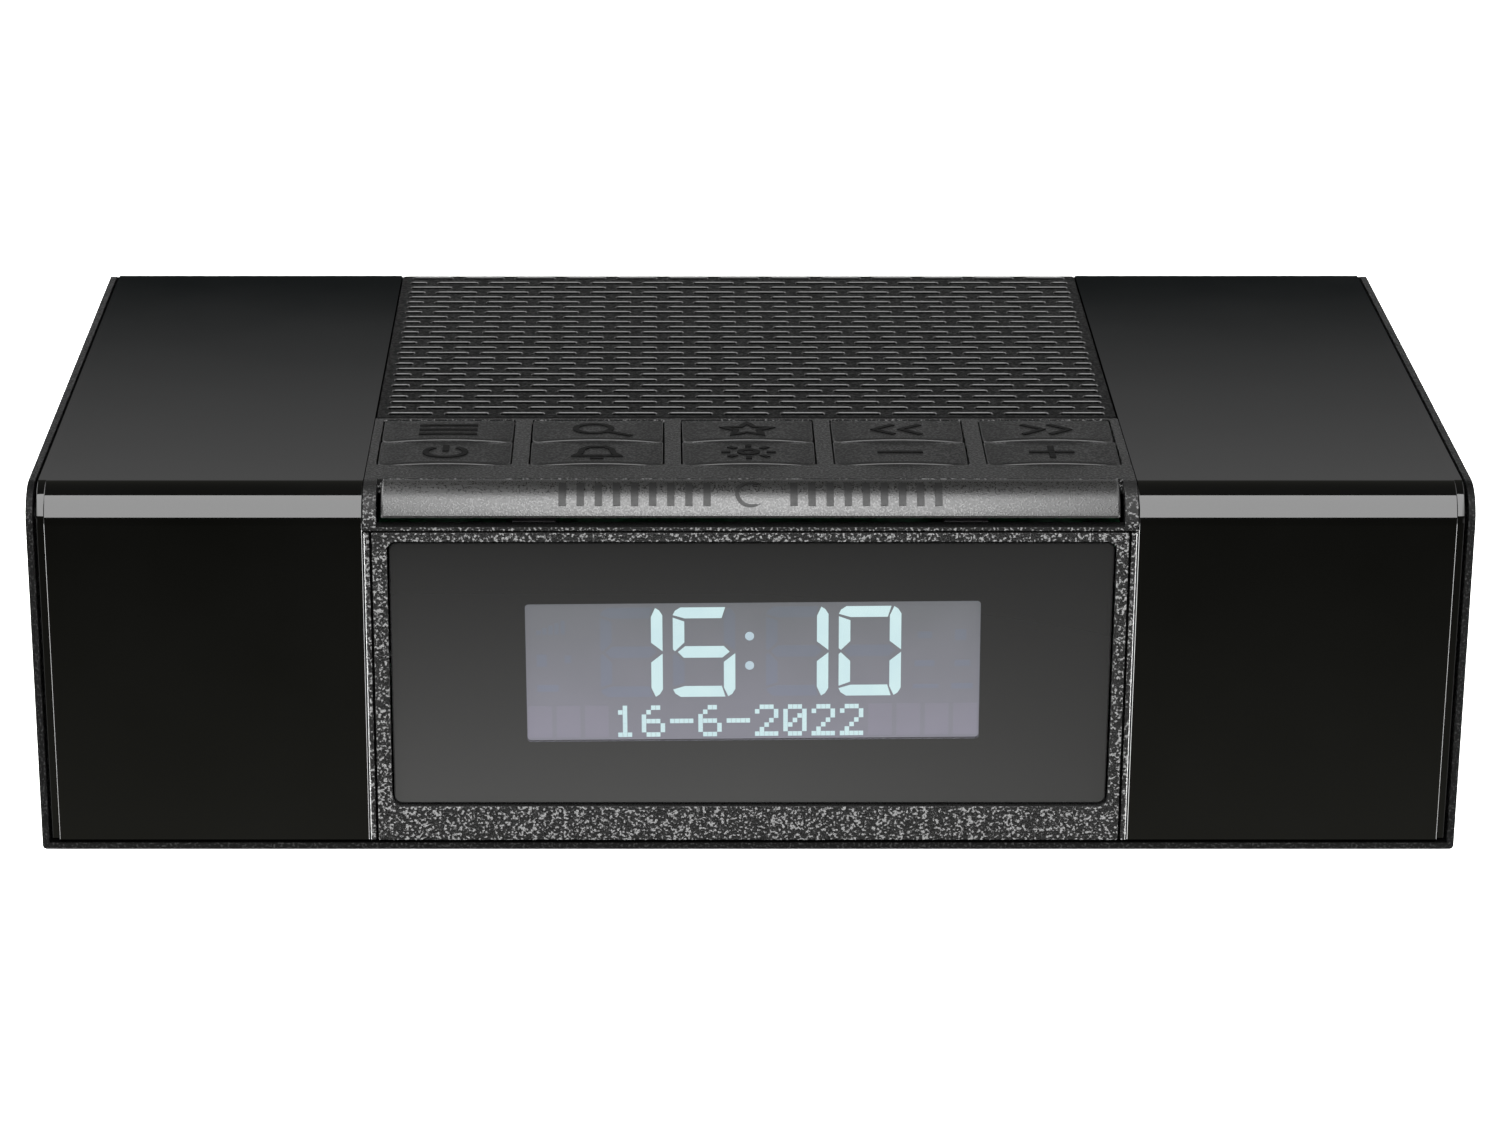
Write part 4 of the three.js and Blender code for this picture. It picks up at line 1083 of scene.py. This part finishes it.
# Brightness of the surroundings by direction in the YZ plane: 0 ahead of the radio, 90 overhead,
# 180 behind it, -90 below
SURROUND = (
    (-180, 1.6, "neutral"), (-160, 0.25, "neutral"), (-124, 0.2, "neutral"), (-118, 6.0, "neutral"),
    (-106, 6.0, "neutral"), (-100, 0.12, "warm"), (-40, 0.10, "warm"), (-25, 0.30, "warm"),
    (-20, 0.07, "warm"), (-6, 0.06, "warm"), (80, 0.11, "neutral"), (148, 0.11, "warm"),
    (156, 0.33, "neutral"), (160.4, 0.39, "neutral"), (163.0, 0.035, "cool"), (167, 0.05, "cool"),
    (171, 1.6, "neutral"), (180, 1.6, "neutral"),
)
TINTS = {"neutral": (1.0, 1.0, 1.0), "warm": (1.0, 1.0, 0.86), "cool": (0.86, 1.0, 1.05)}
SOFTBOX = 9.4                    # the wide light ahead: its brightness and where it starts and ends
SOFTBOX_ANGLES = (7, 80)
SOFTBOX_EDGES = (0.32, 0.5)      # where a light fades sideways or upwards, as parts of a unit direction
LEFT_FLANK = 6.0                 # a glow high up to each side and behind
RIGHT_FLANK = 2.0
FLANK_EDGES = (0.35, 0.6)
FLANK_HEIGHTS = (0.25, 0.6)
FLANK_AHEAD = 0.3                # where it ends, a little ahead of the radio
EDGE_LIGHT = 28.0                # low strips far to both sides, which draw the upright edges
EDGE_LIGHT_EDGES = (0.75, 0.85)
EDGE_LIGHT_HEIGHTS = (-0.26, -0.31, -0.43, -0.48)    # fades in between the first two, out between the others
FLOOR_GLOW = 2.6                 # the bright table to the left and the right
GLOW_EDGES = (0.35, 0.55)
GLOW_HEIGHTS = (0.05, -0.1)


def camera():
    data = bpy.data.cameras.new("camera")
    data.lens = CAMERA_LENS
    data.sensor_width = 36
    data.shift_x = CAMERA_SHIFT
    data.clip_start = 0.01
    obj = bpy.data.objects.new("camera", data)
    obj.location = (CAMERA_X, FRONT - CAMERA_AHEAD, BASE + CAMERA_ABOVE)
    obj.rotation_euler = (math.radians(90 - CAMERA_PITCH), 0, 0)
    bpy.context.scene.collection.objects.link(obj)
    bpy.context.scene.camera = obj


def surroundings():
    """Studio world: brightness by direction, a soft light ahead, side lights and the table's glow."""
    world = bpy.data.worlds.new("studio")
    bpy.context.scene.world = world
    world.use_nodes = True
    tree = world.node_tree
    tree.nodes.clear()

    direction = add_node(tree, "TexCoord").outputs["Generated"]
    x, y, z = add_node(tree, "SeparateXYZ", {0: direction}).outputs
    turn = math_node(tree, "ARCTAN2", z, math_node(tree, "MULTIPLY", y, -1.0))
    share = math_node(tree, "ADD", math_node(tree, "DIVIDE", turn, 2 * math.pi), 0.5)
    ramp = add_node(tree, "ValToRGB", {"Fac": share})
    peak = max(value for _, value, _ in SURROUND)
    elements = ramp.color_ramp.elements
    for index, (angle, value, tint) in enumerate(SURROUND):
        position = angle / 360 + 0.5
        element = elements[index] if index < len(elements) else elements.new(position)
        element.position = position
        level = value / peak
        element.color = (*(level * channel for channel in TINTS[tint]), 1)

    def ramped(value, start, stop):
        """0 at start, 1 at stop, and straight between them."""
        limits = {"Value": value, "From Min": start, "From Max": stop}
        return add_node(tree, "MapRange", limits).outputs["Result"]

    def lamp(strength, *masks):
        """A light of one strength where all its masks are 1."""
        for mask in masks:
            strength = math_node(tree, "MULTIPLY", mask, strength)
        return add_node(tree, "Background", {"Strength": strength}).outputs[0]

    aside = math_node(tree, "ABSOLUTE", x)
    start, stop = (math.radians(angle) for angle in SOFTBOX_ANGLES)
    in_band = (math_node(tree, "GREATER_THAN", turn, start), math_node(tree, "LESS_THAN", turn, stop))
    softbox = lamp(SOFTBOX, *in_band, ramped(aside, *reversed(SOFTBOX_EDGES)))
    behind = math_node(tree, "GREATER_THAN", y, -FLANK_AHEAD)
    high_and_behind = math_node(tree, "MULTIPLY", ramped(z, *FLANK_HEIGHTS), behind)
    left = lamp(LEFT_FLANK, ramped(math_node(tree, "MULTIPLY", x, -1.0), *FLANK_EDGES), high_and_behind)
    right = lamp(RIGHT_FLANK, ramped(x, *FLANK_EDGES), high_and_behind)
    upper, full, waning, lower = EDGE_LIGHT_HEIGHTS
    edge_light = lamp(EDGE_LIGHT, ramped(aside, *EDGE_LIGHT_EDGES), ramped(z, upper, full),
                      ramped(z, lower, waning))
    glow = lamp(FLOOR_GLOW, ramped(aside, *GLOW_EDGES), ramped(z, *GLOW_HEIGHTS))
    total = add_node(tree, "Background", {"Color": ramp.outputs["Color"], "Strength": peak}).outputs[0]
    for light in (softbox, left, right, edge_light, glow):
        total = add_node(tree, "AddShader", {0: total, 1: light}).outputs[0]
    backdrop = add_node(tree, "Background", {"Color": (1, 1, 1, 1)}).outputs[0]
    seen = add_node(tree, "LightPath").outputs["Is Camera Ray"]
    mix = add_node(tree, "MixShader", {"Fac": seen, 1: total, 2: backdrop})
    add_node(tree, "OutputWorld", {"Surface": mix.outputs[0]})


def floor():
    """Plain white table top that the camera sees and the radio's gloss does not."""
    bm = bmesh.new()
    reach = 6.0
    height = -0.02 * MM
    corners = ((-1, -1), (1, -1), (1, 1), (-1, 1))
    bm.faces.new([bm.verts.new((x * reach, y * reach, height)) for x, y in corners])
    shader = Shader("white_table", (0.9, 0.9, 0.9), 0.9)
    tone = shader.noise(400 * MM)
    shader.feed("Emission Color", shader.blend(tone, (0.985, 0.985, 0.985), (1.0, 1.0, 1.0)))
    shader.feed("Emission Strength", 1.0)
    table = new_object("table", bm, shader.material)
    for ray in ("diffuse", "glossy", "transmission", "shadow"):
        setattr(table, "visible_" + ray, False)


# ---- Build ----

camera()
surroundings()
floor()
bpy.context.scene.view_settings.view_transform = "Standard"

dress_frame()
casing()
grille()
for key in KEYS:
    key_cap(key)
    key_symbol(key)
snooze_bar()
snooze_marks()
display(*lens())
small_parts()
